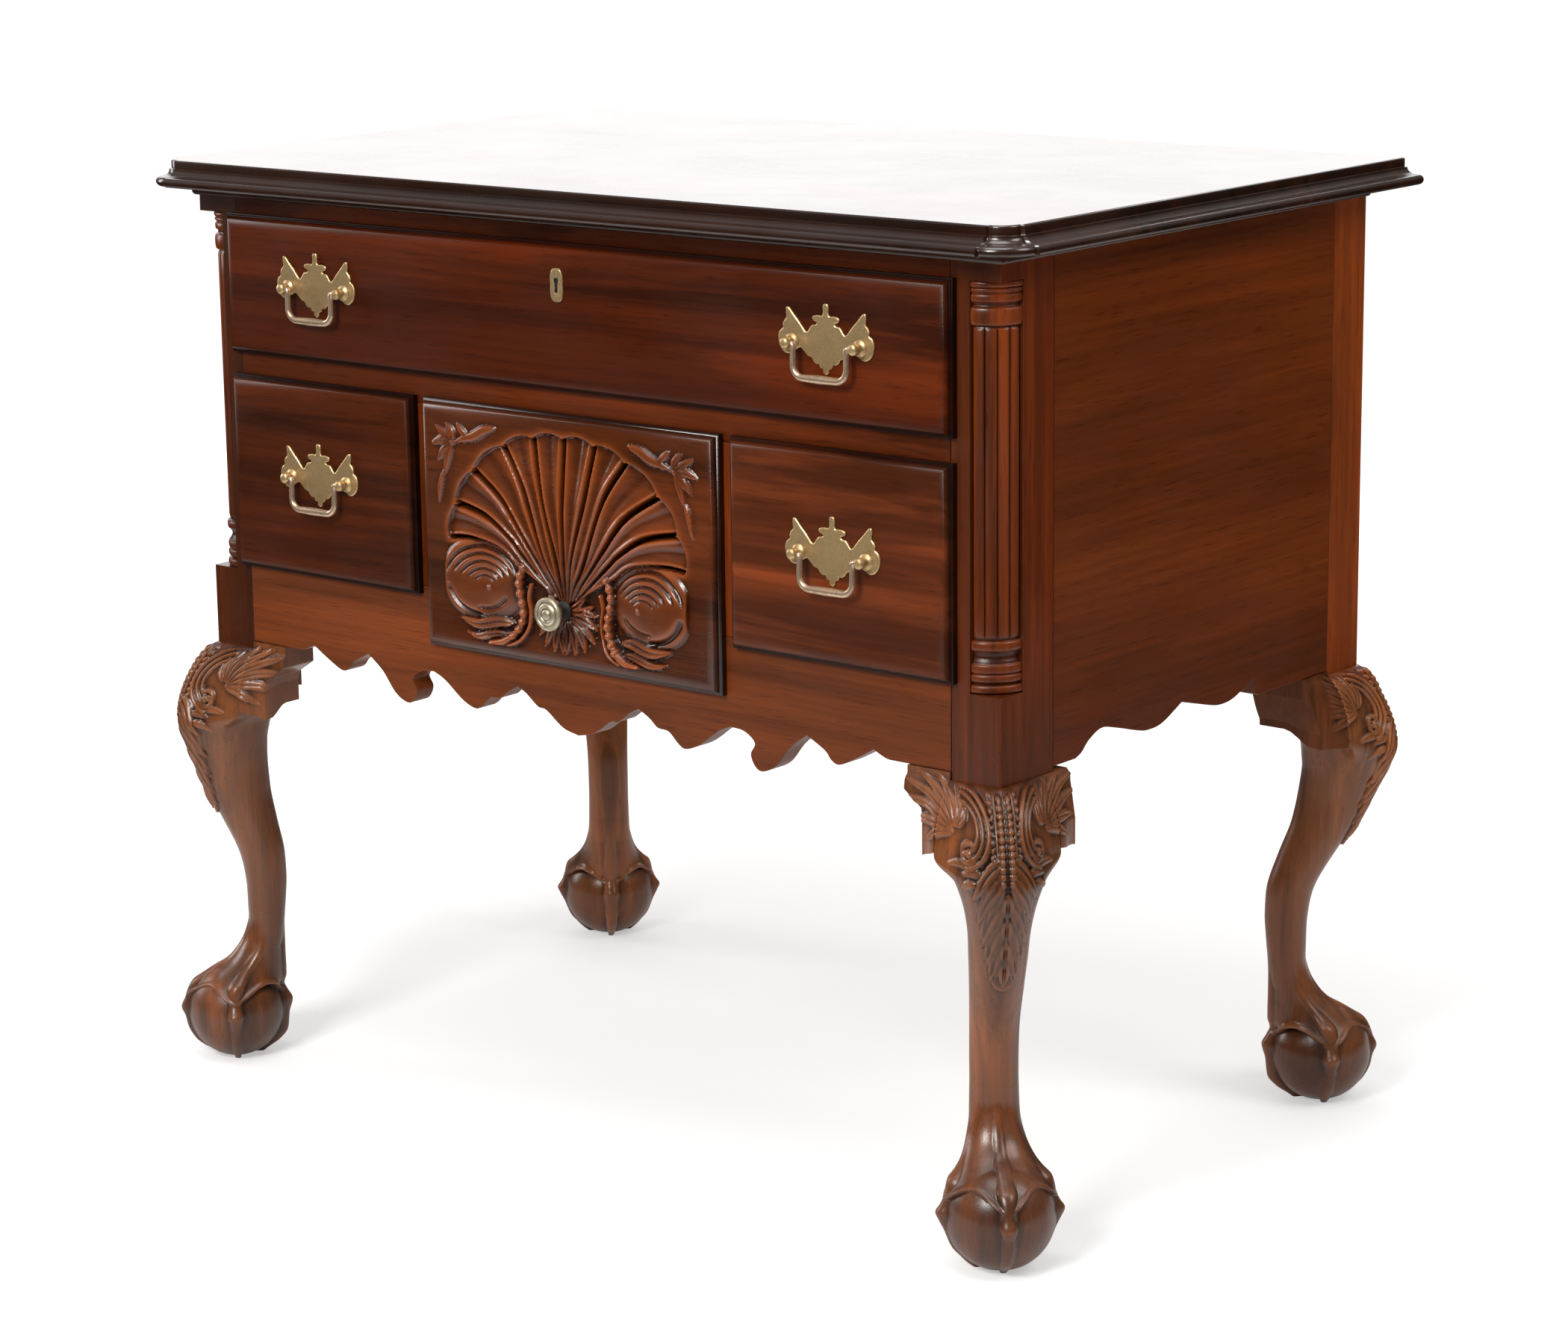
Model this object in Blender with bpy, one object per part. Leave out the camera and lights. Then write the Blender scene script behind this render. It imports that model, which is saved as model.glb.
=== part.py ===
"""Lowboy: a mahogany dressing table on four cabriole legs, one long drawer over three short ones.

Metres, Z up, front faces -Y, X to the right of somebody who faces the front.
Distances called "back" are measured from the case front plane towards the rear.
"""

import math

import bmesh
import bpy
from mathutils import Vector

# ---------------------------------------------------------------- main sizes
HEIGHT = 0.768
CASE_W = 0.811
CASE_D = 0.485
FRONT_Y = -0.2365  # Y of the case front plane, so that the bounding box is centred
GAP = 0.0003  # air left between touching pieces

# top board
TOP_UNDER = 0.7466
TOP_OVER_SIDE = 0.036
TOP_OVER_BACK = 0.025
CORNER_CENTRE = 0.032  # centre of the rounded front corner, in from both edges
CORNER_R = 0.029
TOP_PROFILE = (  # height, set-in from the outermost lip
    (0.7466, 0.0050),
    (0.7482, 0.0012),
    (0.7510, 0.0000),
    (0.7536, 0.0012),
    (0.7552, 0.0040),
    (0.7562, 0.0085),
    (0.7580, 0.0108),
    (0.7606, 0.0118),
    (0.7608, 0.0126),
    (0.7672, 0.0132),
    (0.7680, 0.0140),
)
BED_H = 0.0080
BED_OUT = 0.0040

# posts
POST_TOP = 0.7463
POST_BOTTOM = 0.3620
POST_W = 0.0440  # on the front
POST_FRONT_D = 0.0645  # front post, along the side
POST_BACK_D = 0.0456
RECESS = 0.0270
RECESS_Z = (0.4280, 0.7253)
COLUMN_LEVELS = (  # height, radius
    (0.4284, 0.0262),
    (0.4440, 0.0262),
    (0.4470, 0.0238),
    (0.4520, 0.0238),
    (0.4545, 0.0258),
    (0.4600, 0.0258),
    (0.4630, 0.0240),
    (0.4690, 0.0248),
    (0.4720, 0.0232),
    (0.6930, 0.0226),
    (0.6955, 0.0246),
    (0.7000, 0.0246),
    (0.7030, 0.0230),
    (0.7090, 0.0244),
    (0.7130, 0.0260),
    (0.7249, 0.0262),
)
COLUMN_STEPS = 6

# legs: height, outward reach on the diagonal, inward reach, half width across, roundness exponent
# reach is measured from the case corner, positive away from the case
FRONT_LEG = (
    (0.000, 0.0140, -0.0190, 0.0165, 2.0),
    (0.010, 0.0290, -0.0340, 0.0315, 2.0),
    (0.025, 0.0405, -0.0455, 0.0430, 2.0),
    (0.045, 0.0445, -0.0495, 0.0470, 2.0),
    (0.060, 0.0370, -0.0470, 0.0410, 2.0),
    (0.074, 0.0150, -0.0455, 0.0310, 2.0),
    (0.088, -0.0020, -0.0450, 0.0230, 2.0),
    (0.104, -0.0115, -0.0455, 0.0190, 2.0),
    (0.130, -0.0150, -0.0490, 0.0183, 2.0),
    (0.170, -0.0130, -0.0500, 0.0184, 2.0),
    (0.210, 0.0025, -0.0440, 0.0205, 2.0),
    (0.240, 0.0160, -0.0390, 0.0235, 1.9),
    (0.262, 0.0250, -0.0380, 0.0270, 1.8),
    (0.282, 0.0320, -0.0385, 0.0315, 1.7),
    (0.300, 0.0355, -0.0420, 0.0375, 1.6),
    (0.316, 0.0342, -0.0470, 0.0440, 1.5),
    (0.332, 0.0270, -0.0510, 0.0440, 1.3),
    (0.348, 0.0160, -0.0540, 0.0350, 1.15),
    (0.366, -0.0010, -0.0570, 0.0290, 1.05),
    (0.380, -0.0030, -0.0580, 0.0275, 1.05),
)
LEG_STEPS = 16
BACK_FOOT_SHIFT = 0.0225  # rear shanks and feet stand this far further in, on the diagonal
BACK_SHIFT_FROM = 0.316  # height where that shift has faded out

# knee blocks
KNEE_TOP_FRONT = 0.3676
KNEE_TOP_UNDER_POST = POST_BOTTOM - GAP
KNEE_TOP_REAR = 0.3646
KNEE_FACE = 0.0100  # how proud of the case
KNEE_BACK = 0.0300
KNEE_BACK_REAR = 0.0480
KNEE_START = 0.0448  # front side blocks, back from the case corner
# outlines below the top corners: u away from the leg, z
KNEE_FRONT = ((0.0385, KNEE_TOP_FRONT), (0.0385, 0.3505), (0.0355, 0.3485), (0.0215, 0.3390), (0.0195, 0.3310), (0.0195, 0.3045), (0.0, 0.3120))
KNEE_SIDE = ((0.0350, KNEE_TOP_UNDER_POST), (0.0350, 0.3050), (0.0, 0.3120))
KNEE_REAR = ((0.0345, KNEE_TOP_REAR), (0.0335, 0.3480), (0.0290, 0.3350), (0.0215, 0.3180), (0.0, 0.3180))

# panels and rails
SIDE_T = 0.0160
SIDE_END_Z = 0.3650
SIDE_ARCS = (  # lower edge from cusp to cusp: back from the case front, z
    ((0.0935, 0.3650), (0.1015, 0.3684), (0.1105, 0.3756), (0.1265, 0.3814), (0.1450, 0.3780), (0.1748, 0.3698), (0.1892, 0.3676), (0.2070, 0.3694), (0.2328, 0.3802)),
    ((0.2328, 0.3802), (0.2550, 0.3745), (0.2752, 0.3694), (0.2878, 0.3677), (0.3030, 0.3690), (0.3200, 0.3746), (0.3335, 0.3795)),
    ((0.3335, 0.3795), (0.3395, 0.3720), (0.3445, 0.3665), (0.3515, 0.3650)),
)
BACK_T = 0.0140
BACK_Y = 0.4620
BACK_BOTTOM = 0.3720
RAIL_D = 0.0640
TOP_RAIL_D = 0.0220
APRON_T = 0.0200
DIVIDER_D = 0.0200

# drawer openings
OPEN_X = 0.3613
TOP_OPEN = (0.6185, 0.7205)
LOW_OPEN = (0.4400, 0.5885)
MID_OPEN = (0.4010, 0.5885)
DIVIDER_X = (0.1460, 0.1685)

# apron outline, right half: drops hanging between cusps
APRON_END_Z = 0.3680
APRON_ARCS = (
    ((0.0000, 0.3405), (0.0160, 0.3445), (0.0330, 0.3560), (0.0420, 0.3578), (0.0540, 0.3665), (0.0630, 0.3710)),
    ((0.0630, 0.3710), (0.0740, 0.3650), (0.0820, 0.3590), (0.0930, 0.3575), (0.1030, 0.3490), (0.1105, 0.3465), (0.1240, 0.3520), (0.1420, 0.3650), (0.1545, 0.3705)),
    ((0.1545, 0.3705), (0.1680, 0.3690), (0.1780, 0.3615), (0.1740, 0.3525), (0.1780, 0.3435), (0.1855, 0.3405), (0.1985, 0.3470), (0.2120, 0.3630), (0.2280, 0.3750)),
    ((0.2280, 0.3750), (0.2450, 0.3660), (0.2510, 0.3595), (0.2585, 0.3570), (0.2720, 0.3630), (0.2905, 0.3735)),
    ((0.2905, 0.3735), (0.3010, 0.3690), (0.3060, 0.3680)),
)
CURVE_STEPS = 2

# drawers
FIT = 0.0010  # drawer box clearance in its opening, each side
LIP = 0.0060
FRONT_IN = 0.0125  # drawer front behind the case plane
LIP_T = 0.0050
FACE_OUT = 0.0115  # drawer face in front of the case plane
THUMB_IN = 0.0110  # width of the thumbnail edge
SIDE_BOARD = 0.0100
BOTTOM_T = 0.0060
GROOVE_UP = 0.0120
GROOVE_D = 0.0050
DRAWER_END = 0.4300
RUNNER_H = 0.0220
FENCE_UP = 0.0300

# brass
TOP_PULL_X = 0.2600
LOW_PULL_X = 0.2640
TOP_PULL_Z = 0.6755
LOW_PULL_Z = 0.5205
PLATE_T = 0.0015
POST_X = 0.0311  # pull posts either side of the plate centre
POST_R = 0.0042
POST_LEN = 0.0120
PIN_OUT = 0.0085  # bail axis in front of the drawer face
PIN_UP = -0.0040  # bail axis above the plate centre
HOLE_R = 0.0018
BAIL_X = 0.0244
BAIL_DROP = 0.0245
BAIL_BEND = 0.0090
BAIL_R = 0.0022
BEND_STEPS = 3
PIN_R = 0.0016
KNOB_Z = 0.4430
KNOB_PROFILE = (  # out from the face, radius
    (0.0003, 0.0095),
    (0.0020, 0.0100),
    (0.0032, 0.0058),
    (0.0100, 0.0052),
    (0.0125, 0.0090),
    (0.0150, 0.0128),
    (0.0178, 0.0134),
    (0.0200, 0.0122),
    (0.0206, 0.0090),
    (0.0226, 0.0070),
    (0.0236, 0.0035),
)
PLATE_HALF = (  # right half of the backplate outline, from the top finial round to the bottom tip
    (0.0000, 0.0250),
    (0.0030, 0.0205),
    (0.0080, 0.0190),
    (0.0050, 0.0150),
    (0.0110, 0.0135),
    (0.0200, 0.0130),
    (0.0290, 0.0180),
    (0.0400, 0.0210),
    (0.0350, 0.0130),
    (0.0340, 0.0060),
    (0.0435, 0.0010),
    (0.0400, -0.0060),
    (0.0340, -0.0115),
    (0.0255, -0.0085),
    (0.0190, -0.0120),
    (0.0100, -0.0150),
    (0.0040, -0.0190),
    (0.0000, -0.0240),
)
KEY_Z = 0.6952
KEY_HALF = (
    (0.0000, 0.0130),
    (0.0040, 0.0100),
    (0.0068, 0.0040),
    (0.0066, -0.0030),
    (0.0040, -0.0090),
    (0.0000, -0.0128),
)
LOCK_X = 0.0250
LOCK_Z = (0.6800, 0.7150)
LOCK_T = 0.0080
BOLT_X = 0.0060
BOLT_Z = (0.7050, 0.7146)
BOLT_T = 0.0040

COLOURS = {
    "mahogany": (0.115, 0.036, 0.018, 1.0),
    "second": (0.38, 0.22, 0.11, 1.0),
    "brass": (0.55, 0.39, 0.15, 1.0),
    "iron": (0.10, 0.09, 0.08, 1.0),
}
ROUGHNESS = {"mahogany": 0.35, "second": 0.65, "brass": 0.35, "iron": 0.5}

# ---------------------------------------------------------------- scene
for old in list(bpy.data.objects):
    bpy.data.objects.remove(old, do_unlink=True)

PARTS = bpy.data.collections.new("lowboy")
CUTTERS = bpy.data.collections.new("cutters")
bpy.context.scene.collection.children.link(PARTS)
bpy.context.scene.collection.children.link(CUTTERS)


def material(name, kind):
    mat = bpy.data.materials.new(name + "_" + kind)
    mat.use_nodes = True
    shader = mat.node_tree.nodes["Principled BSDF"]
    shader.inputs["Base Color"].default_value = COLOURS[kind]
    shader.inputs["Roughness"].default_value = ROUGHNESS[kind]
    shader.inputs["Metallic"].default_value = 1.0 if kind in ("brass", "iron") else 0.0
    return mat


def solid(name, points, faces, kind, origin=(0.0, 0.0, 0.0)):
    """A closed mesh object; kind None makes a helper that is only used by a Boolean."""
    at = Vector(origin)
    mesh = bpy.data.meshes.new(name)
    mesh.from_pydata([Vector(p) - at for p in points], [], faces)
    work = bmesh.new()
    work.from_mesh(mesh)
    bmesh.ops.recalc_face_normals(work, faces=work.faces)
    work.to_mesh(mesh)
    work.free()
    obj = bpy.data.objects.new(name, mesh)
    obj.location = at
    if kind is None:
        CUTTERS.objects.link(obj)
        obj.hide_render = True
        obj.display_type = "WIRE"
    else:
        PARTS.objects.link(obj)
        mesh.materials.append(material(name, kind))
    return obj


def loft(name, rings, kind, origin=(0.0, 0.0, 0.0)):
    """Rings of equally many points, joined in order, with both ends closed."""
    n = len(rings[0])
    points = [p for ring in rings for p in ring]
    faces = []
    for i in range(len(rings) - 1):
        for j in range(n):
            k = (j + 1) % n
            faces.append((i * n + j, i * n + k, (i + 1) * n + k, (i + 1) * n + j))
    faces.append(tuple(reversed(range(n))))
    faces.append(tuple(range((len(rings) - 1) * n, len(rings) * n)))
    return solid(name, points, faces, kind, origin)


def box(name, x, y, z, kind):
    """y counts back from the case front plane."""
    rings = [
        [(px, FRONT_Y + py, pz) for px, py in ((x[0], y[0]), (x[1], y[0]), (x[1], y[1]), (x[0], y[1]))]
        for pz in z
    ]
    return loft(name, rings, kind)


def prism(name, outline, axis, ends, kind):
    """outline in the two other axes, in XYZ order; its Y values count back from the case front."""
    rings = []
    for end in ends:
        ring = []
        for a, b in outline:
            if axis == "X":
                ring.append((end, FRONT_Y + a, b))
            elif axis == "Y":
                ring.append((a, FRONT_Y + end, b))
            else:
                ring.append((a, FRONT_Y + b, end))
        rings.append(ring)
    return loft(name, rings, kind)


def cylinder(name, centre, axis, radius, ends, steps, kind):
    rings = []
    for end in ends:
        ring = []
        for i in range(steps):
            t = 2 * math.pi * i / steps
            a, b = radius * math.cos(t), radius * math.sin(t)
            if axis == "X":
                ring.append((centre[0] + end, centre[1] + a, centre[2] + b))
            else:
                ring.append((centre[0] + a, centre[1] + end, centre[2] + b))
        rings.append(ring)
    return loft(name, rings, kind)


def boolean(obj, other, operation):
    mod = obj.modifiers.new(operation.lower(), "BOOLEAN")
    mod.operation = operation
    mod.solver = "EXACT"
    mod.object = other


def group(name, at):
    empty = bpy.data.objects.new(name, None)
    empty.location = at
    empty.empty_display_size = 0.03
    PARTS.objects.link(empty)
    return empty


def attach(child, parent):
    child.parent = parent
    child.matrix_parent_inverse.identity()
    child.location = Vector(child.location) - Vector(parent.location)


def curve(points):
    """A smooth line through the points of one arc, ends included."""
    line = [points[0]]
    for i in range(len(points) - 1):
        p0, p1, p2, p3 = points[max(i - 1, 0)], points[i], points[i + 1], points[min(i + 2, len(points) - 1)]
        for k in range(1, CURVE_STEPS + 1):
            t = k / CURVE_STEPS
            line.append(
                tuple(
                    b + 0.5 * t * (c - a + t * (2 * a - 5 * b + 4 * c - d + t * (3 * (b - c) + d - a)))
                    for a, b, c, d in zip(p0, p1, p2, p3)
                )
            )
    return line


def arcs_line(arcs):
    line = [arcs[0][0]]
    for arc in arcs:
        line += curve(arc)[1:]
    return line


# ---------------------------------------------------------------- top board and bed moulding
def top_outline(inset):
    """Plan of the top at one level: square at the back, set-in rounded corners at the front."""
    half = CASE_W / 2 + TOP_OVER_SIDE
    front, back = -TOP_OVER_SIDE, CASE_D + TOP_OVER_BACK
    step = CORNER_CENTRE - CORNER_R
    right = [(half - CORNER_CENTRE - 0.0008, front + inset)]
    for i in range(7):
        t = math.pi / 2 * i / 6
        reach = CORNER_R - inset
        right.append((half - CORNER_CENTRE + reach * math.sin(t), front + CORNER_CENTRE - reach * math.cos(t)))
    right.append((half - inset, front + CORNER_CENTRE + 0.0008))
    right.append((half - inset, back - inset))
    left = [(-x, y) for x, y in reversed(right)]
    return right + left


loft(
    "top_board",
    [[(x, FRONT_Y + y, z) for x, y in top_outline(inset)] for z, inset in TOP_PROFILE],
    "mahogany",
)


def bed_plan(out, back):
    half = CASE_W / 2
    return [(-half - out, back), (-half - out, -out), (half + out, -out), (half + out, back)]


outer = bed_plan(BED_OUT, CASE_D)
inner = bed_plan(GAP, CASE_D)
prism(
    "bed_moulding",
    outer + list(reversed(inner)),
    "Z",
    (POST_TOP - BED_H, POST_TOP),
    "mahogany",
)


# ---------------------------------------------------------------- legs with their posts
def leg_ring(corner, sx, sy, level, shift):
    z, out, back, half, power = level
    mid, reach = (out + back) / 2 - shift, (out - back) / 2
    diagonal = Vector((sx, sy)) / math.sqrt(2)
    across = Vector((-diagonal.y, diagonal.x))
    ring = []
    for i in range(LEG_STEPS):
        t = 2 * math.pi * i / LEG_STEPS
        c, s = math.cos(t), math.sin(t)
        a = reach * math.copysign(abs(c) ** (2 / power), c)
        b = half * math.copysign(abs(s) ** (2 / power), s)
        p = Vector(corner) + diagonal * (mid + a) + across * b
        ring.append((p.x, p.y, z))
    return ring


def leg(name, sx, front):
    sy = -1 if front else 1
    corner = (sx * CASE_W / 2, FRONT_Y if front else FRONT_Y + CASE_D)
    rings = []
    for level in FRONT_LEG:
        fade = 0.0 if front else min(1.0, max(0.0, (BACK_SHIFT_FROM - level[0]) / 0.12))
        rings.append(leg_ring(corner, sx, sy, level, BACK_FOOT_SHIFT * fade))
    shank = loft(name + "_shank", rings, None)
    x = sorted((sx * CASE_W / 2, sx * (CASE_W / 2 - POST_W)))
    y = (0.0, POST_FRONT_D) if front else (CASE_D - POST_BACK_D, CASE_D)
    post = box(name, x, y, (POST_BOTTOM, POST_TOP), "mahogany")
    if front:
        cut = box(
            name + "_recess",
            sorted((sx * (CASE_W / 2 + 0.01), sx * (CASE_W / 2 - RECESS))),
            (-0.01, RECESS),
            RECESS_Z,
            None,
        )
        boolean(post, cut, "DIFFERENCE")
    boolean(post, shank, "UNION")
    return post


leg("front_left_leg", -1, True)
leg("front_right_leg", 1, True)
leg("back_left_leg", -1, False)
leg("back_right_leg", 1, False)


def column(name, sx):
    axis = (sx * (CASE_W / 2 - RECESS + GAP), FRONT_Y + RECESS - GAP)
    rings = []
    for z, radius in COLUMN_LEVELS:
        ring = [(axis[0], axis[1], z)]
        for i in range(COLUMN_STEPS + 1):
            t = math.pi / 2 * i / COLUMN_STEPS
            ring.append((axis[0] + sx * radius * math.cos(t), axis[1] - radius * math.sin(t), z))
        rings.append(ring)
    loft(name, rings, "mahogany")


column("left_quarter_column", -1)
column("right_quarter_column", 1)


# ---------------------------------------------------------------- knee blocks
for side, sx in (("left", -1), ("right", 1)):
    inner_x = CASE_W / 2 - POST_W - GAP
    prism(
        f"front_{side}_front_knee_block",
        [(sx * (inner_x - u), z) for u, z in ((0.0, KNEE_TOP_FRONT), *KNEE_FRONT)],
        "Y",
        (-KNEE_FACE, KNEE_BACK),
        "mahogany",
    )
    ends = sorted((sx * (CASE_W / 2 + KNEE_FACE), sx * (CASE_W / 2 - KNEE_BACK)))
    prism(
        f"front_{side}_side_knee_block",
        [(KNEE_START + u, z) for u, z in ((0.0, KNEE_TOP_UNDER_POST), *KNEE_SIDE)],
        "X",
        ends,
        "mahogany",
    )
    prism(
        f"back_{side}_side_knee_block",
        [(CASE_D - POST_BACK_D - GAP - u, z) for u, z in ((0.0, KNEE_TOP_REAR), *KNEE_REAR)],
        "X",
        sorted((sx * (CASE_W / 2 + KNEE_FACE), sx * (CASE_W / 2 - KNEE_BACK_REAR))),
        "mahogany",
    )

# ---------------------------------------------------------------- case panels and rails
SIDE_Y = (POST_FRONT_D + GAP, CASE_D - POST_BACK_D - GAP)


def side_outline():
    lower = [(SIDE_Y[0], SIDE_END_Z), *arcs_line(SIDE_ARCS), (SIDE_Y[1], SIDE_END_Z)]
    return [(SIDE_Y[0], POST_TOP), *lower, (SIDE_Y[1], POST_TOP)]


for side, sx in (("left", -1), ("right", 1)):
    prism(
        f"{side}_side_panel",
        side_outline(),
        "X",
        sorted((sx * (CASE_W / 2 - GAP), sx * (CASE_W / 2 - SIDE_T))),
        "mahogany",
    )

box("back_panel", (-OPEN_X, OPEN_X), (BACK_Y, BACK_Y + BACK_T), (BACK_BOTTOM, POST_TOP), "second")

rail = box("top_front_rail", (-OPEN_X, OPEN_X), (0.0, TOP_RAIL_D), (TOP_OPEN[1], POST_TOP), "mahogany")
bolt_y = FRONT_IN + GAP + LOCK_T / 2
mortise = box(
    "bolt_mortise",
    (-BOLT_X - 0.001, BOLT_X + 0.001),
    (bolt_y - BOLT_T / 2 - 0.001, bolt_y + BOLT_T / 2 + 0.001),
    (TOP_OPEN[1] - 0.002, TOP_OPEN[1] + 0.009),
    None,
)
boolean(rail, mortise, "DIFFERENCE")
box("middle_rail", (-OPEN_X, OPEN_X), (0.0, RAIL_D), (LOW_OPEN[1], TOP_OPEN[0]), "mahogany")


def apron_outline():
    right = [*arcs_line(APRON_ARCS), (OPEN_X, APRON_END_Z)]
    lower = [(-x, z) for x, z in reversed(right)] + right[1:]
    upper = [
        (OPEN_X, LOW_OPEN[0]),
        (DIVIDER_X[0], LOW_OPEN[0]),
        (DIVIDER_X[0], MID_OPEN[0]),
        (-DIVIDER_X[0], MID_OPEN[0]),
        (-DIVIDER_X[0], LOW_OPEN[0]),
        (-OPEN_X, LOW_OPEN[0]),
    ]
    return lower + upper


prism("front_apron", apron_outline(), "Y", (0.0, APRON_T), "mahogany")

for side, sx in (("left", -1), ("right", 1)):
    box(
        f"{side}_drawer_divider",
        sorted((sx * DIVIDER_X[0], sx * DIVIDER_X[1])),
        (0.0, DIVIDER_D),
        (LOW_OPEN[0] + GAP, LOW_OPEN[1] - GAP),
        "mahogany",
    )


# ---------------------------------------------------------------- drawer runners
def outer_runner(name, sx, top):
    wall, fence, tip = CASE_W / 2 - SIDE_T - GAP, OPEN_X + 0.0012, OPEN_X - 0.016
    outline = [
        (wall, top - RUNNER_H),
        (tip, top - RUNNER_H),
        (tip, top),
        (fence, top),
        (fence, top + FENCE_UP),
        (wall, top + FENCE_UP),
    ]
    prism(name, [(sx * x, z) for x, z in outline], "Y", (SIDE_Y[0], SIDE_Y[1]), "second")


def inner_runner(name, sx):
    low, mid = LOW_OPEN[0], MID_OPEN[0]
    outline = [
        (0.1830, mid - 0.015),
        (0.1310, mid - 0.015),
        (0.1310, mid),
        (0.1470, mid),
        (0.1470, low + FENCE_UP),
        (0.1675, low + FENCE_UP),
        (0.1675, low),
        (0.1830, low),
    ]
    prism(name, [(sx * x, z) for x, z in outline], "Y", (DIVIDER_D + GAP, BACK_Y - GAP), "second")


for side, sx in (("left", -1), ("right", 1)):
    outer_runner(f"top_{side}_runner", sx, TOP_OPEN[0])
    outer_runner(f"lower_{side}_runner", sx, LOW_OPEN[0])
    inner_runner(f"middle_{side}_runner", sx)


# ---------------------------------------------------------------- drawers
def drawer_front_rings(x0, x1, z0, z1):
    """Rectangles from the back of the front board to its face: rebate, lip, thumbnail edge."""
    levels = [(FRONT_IN, -FIT), (-GAP, -FIT), (-GAP, LIP), (-LIP_T, LIP), (-LIP_T - 0.0010, LIP - 0.0020)]
    start, rise = LIP - 0.0020, FACE_OUT - LIP_T - 0.0010
    for i in range(1, 5):
        t = math.pi / 2 * i / 4
        levels.append((-LIP_T - 0.0010 - rise * math.sin(t), start - (THUMB_IN - 0.0020) * (1 - math.cos(t))))
    return [
        [
            (px, FRONT_Y + y, pz)
            for px, pz in ((x0 - g, z0 - g), (x1 + g, z0 - g), (x1 + g, z1 + g), (x0 - g, z1 + g))
        ]
        for y, g in levels
    ]


def drawer(name, x0, x1, z0, z1):
    parent = group(name, ((x0 + x1) / 2, FRONT_Y, (z0 + z1) / 2))
    pieces = [loft(name + "_front", drawer_front_rings(x0, x1, z0, z1), "mahogany")]
    start = FRONT_IN + GAP
    left, right, bottom, top = x0 + FIT, x1 - FIT, z0 + GAP, z1 - 0.0080
    g0, g1 = bottom + GROOVE_UP, bottom + GROOVE_UP + BOTTOM_T + 2 * GAP
    for side, face, way in (("left", left, 1), ("right", right, -1)):
        inner_face, groove = face + way * SIDE_BOARD, face + way * (SIDE_BOARD - GROOVE_D)
        outline = [
            (face, bottom),
            (inner_face, bottom),
            (inner_face, g0),
            (groove, g0),
            (groove, g1),
            (inner_face, g1),
            (inner_face, top),
            (face, top),
        ]
        pieces.append(prism(f"{name}_{side}_side", outline, "Y", (start, DRAWER_END), "second"))
    pieces.append(
        box(
            name + "_back",
            (left + SIDE_BOARD + GAP, right - SIDE_BOARD - GAP),
            (DRAWER_END - 0.0120, DRAWER_END),
            (g1, top - 0.0060),
            "second",
        )
    )
    pieces.append(
        box(
            name + "_bottom",
            (left + SIDE_BOARD - GROOVE_D + GAP, right - SIDE_BOARD + GROOVE_D - GAP),
            (start, DRAWER_END),
            (g0 + GAP, g0 + GAP + BOTTOM_T),
            "second",
        )
    )
    for piece in pieces:
        attach(piece, parent)
    return parent


TOP_DRAWER = drawer("top_drawer", -OPEN_X, OPEN_X, *TOP_OPEN)
LEFT_DRAWER = drawer("left_drawer", -OPEN_X, -DIVIDER_X[1], *LOW_OPEN)
RIGHT_DRAWER = drawer("right_drawer", DIVIDER_X[1], OPEN_X, *LOW_OPEN)
MIDDLE_DRAWER = drawer("shell_drawer", -DIVIDER_X[0], DIVIDER_X[0], *MID_OPEN)


# ---------------------------------------------------------------- brass
def mirrored(half):
    return list(half) + [(-x, z) for x, z in reversed(half[1:-1])]


def sweep(name, path, radii, steps, kind, origin):
    """Round section along a path that lies in an XZ plane."""
    rings = []
    for i, (point, radius) in enumerate(zip(path, radii)):
        before, after = path[max(i - 1, 0)], path[min(i + 1, len(path) - 1)]
        along = (Vector(after) - Vector(before)).normalized()
        side = Vector((along.z, 0.0, -along.x))
        ring = []
        for j in range(steps):
            t = 2 * math.pi * j / steps
            ring.append(Vector(point) + side * (radius * math.cos(t)) + Vector((0.0, radius * math.sin(t), 0.0)))
        rings.append(ring)
    return loft(name, rings, kind, origin)


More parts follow.
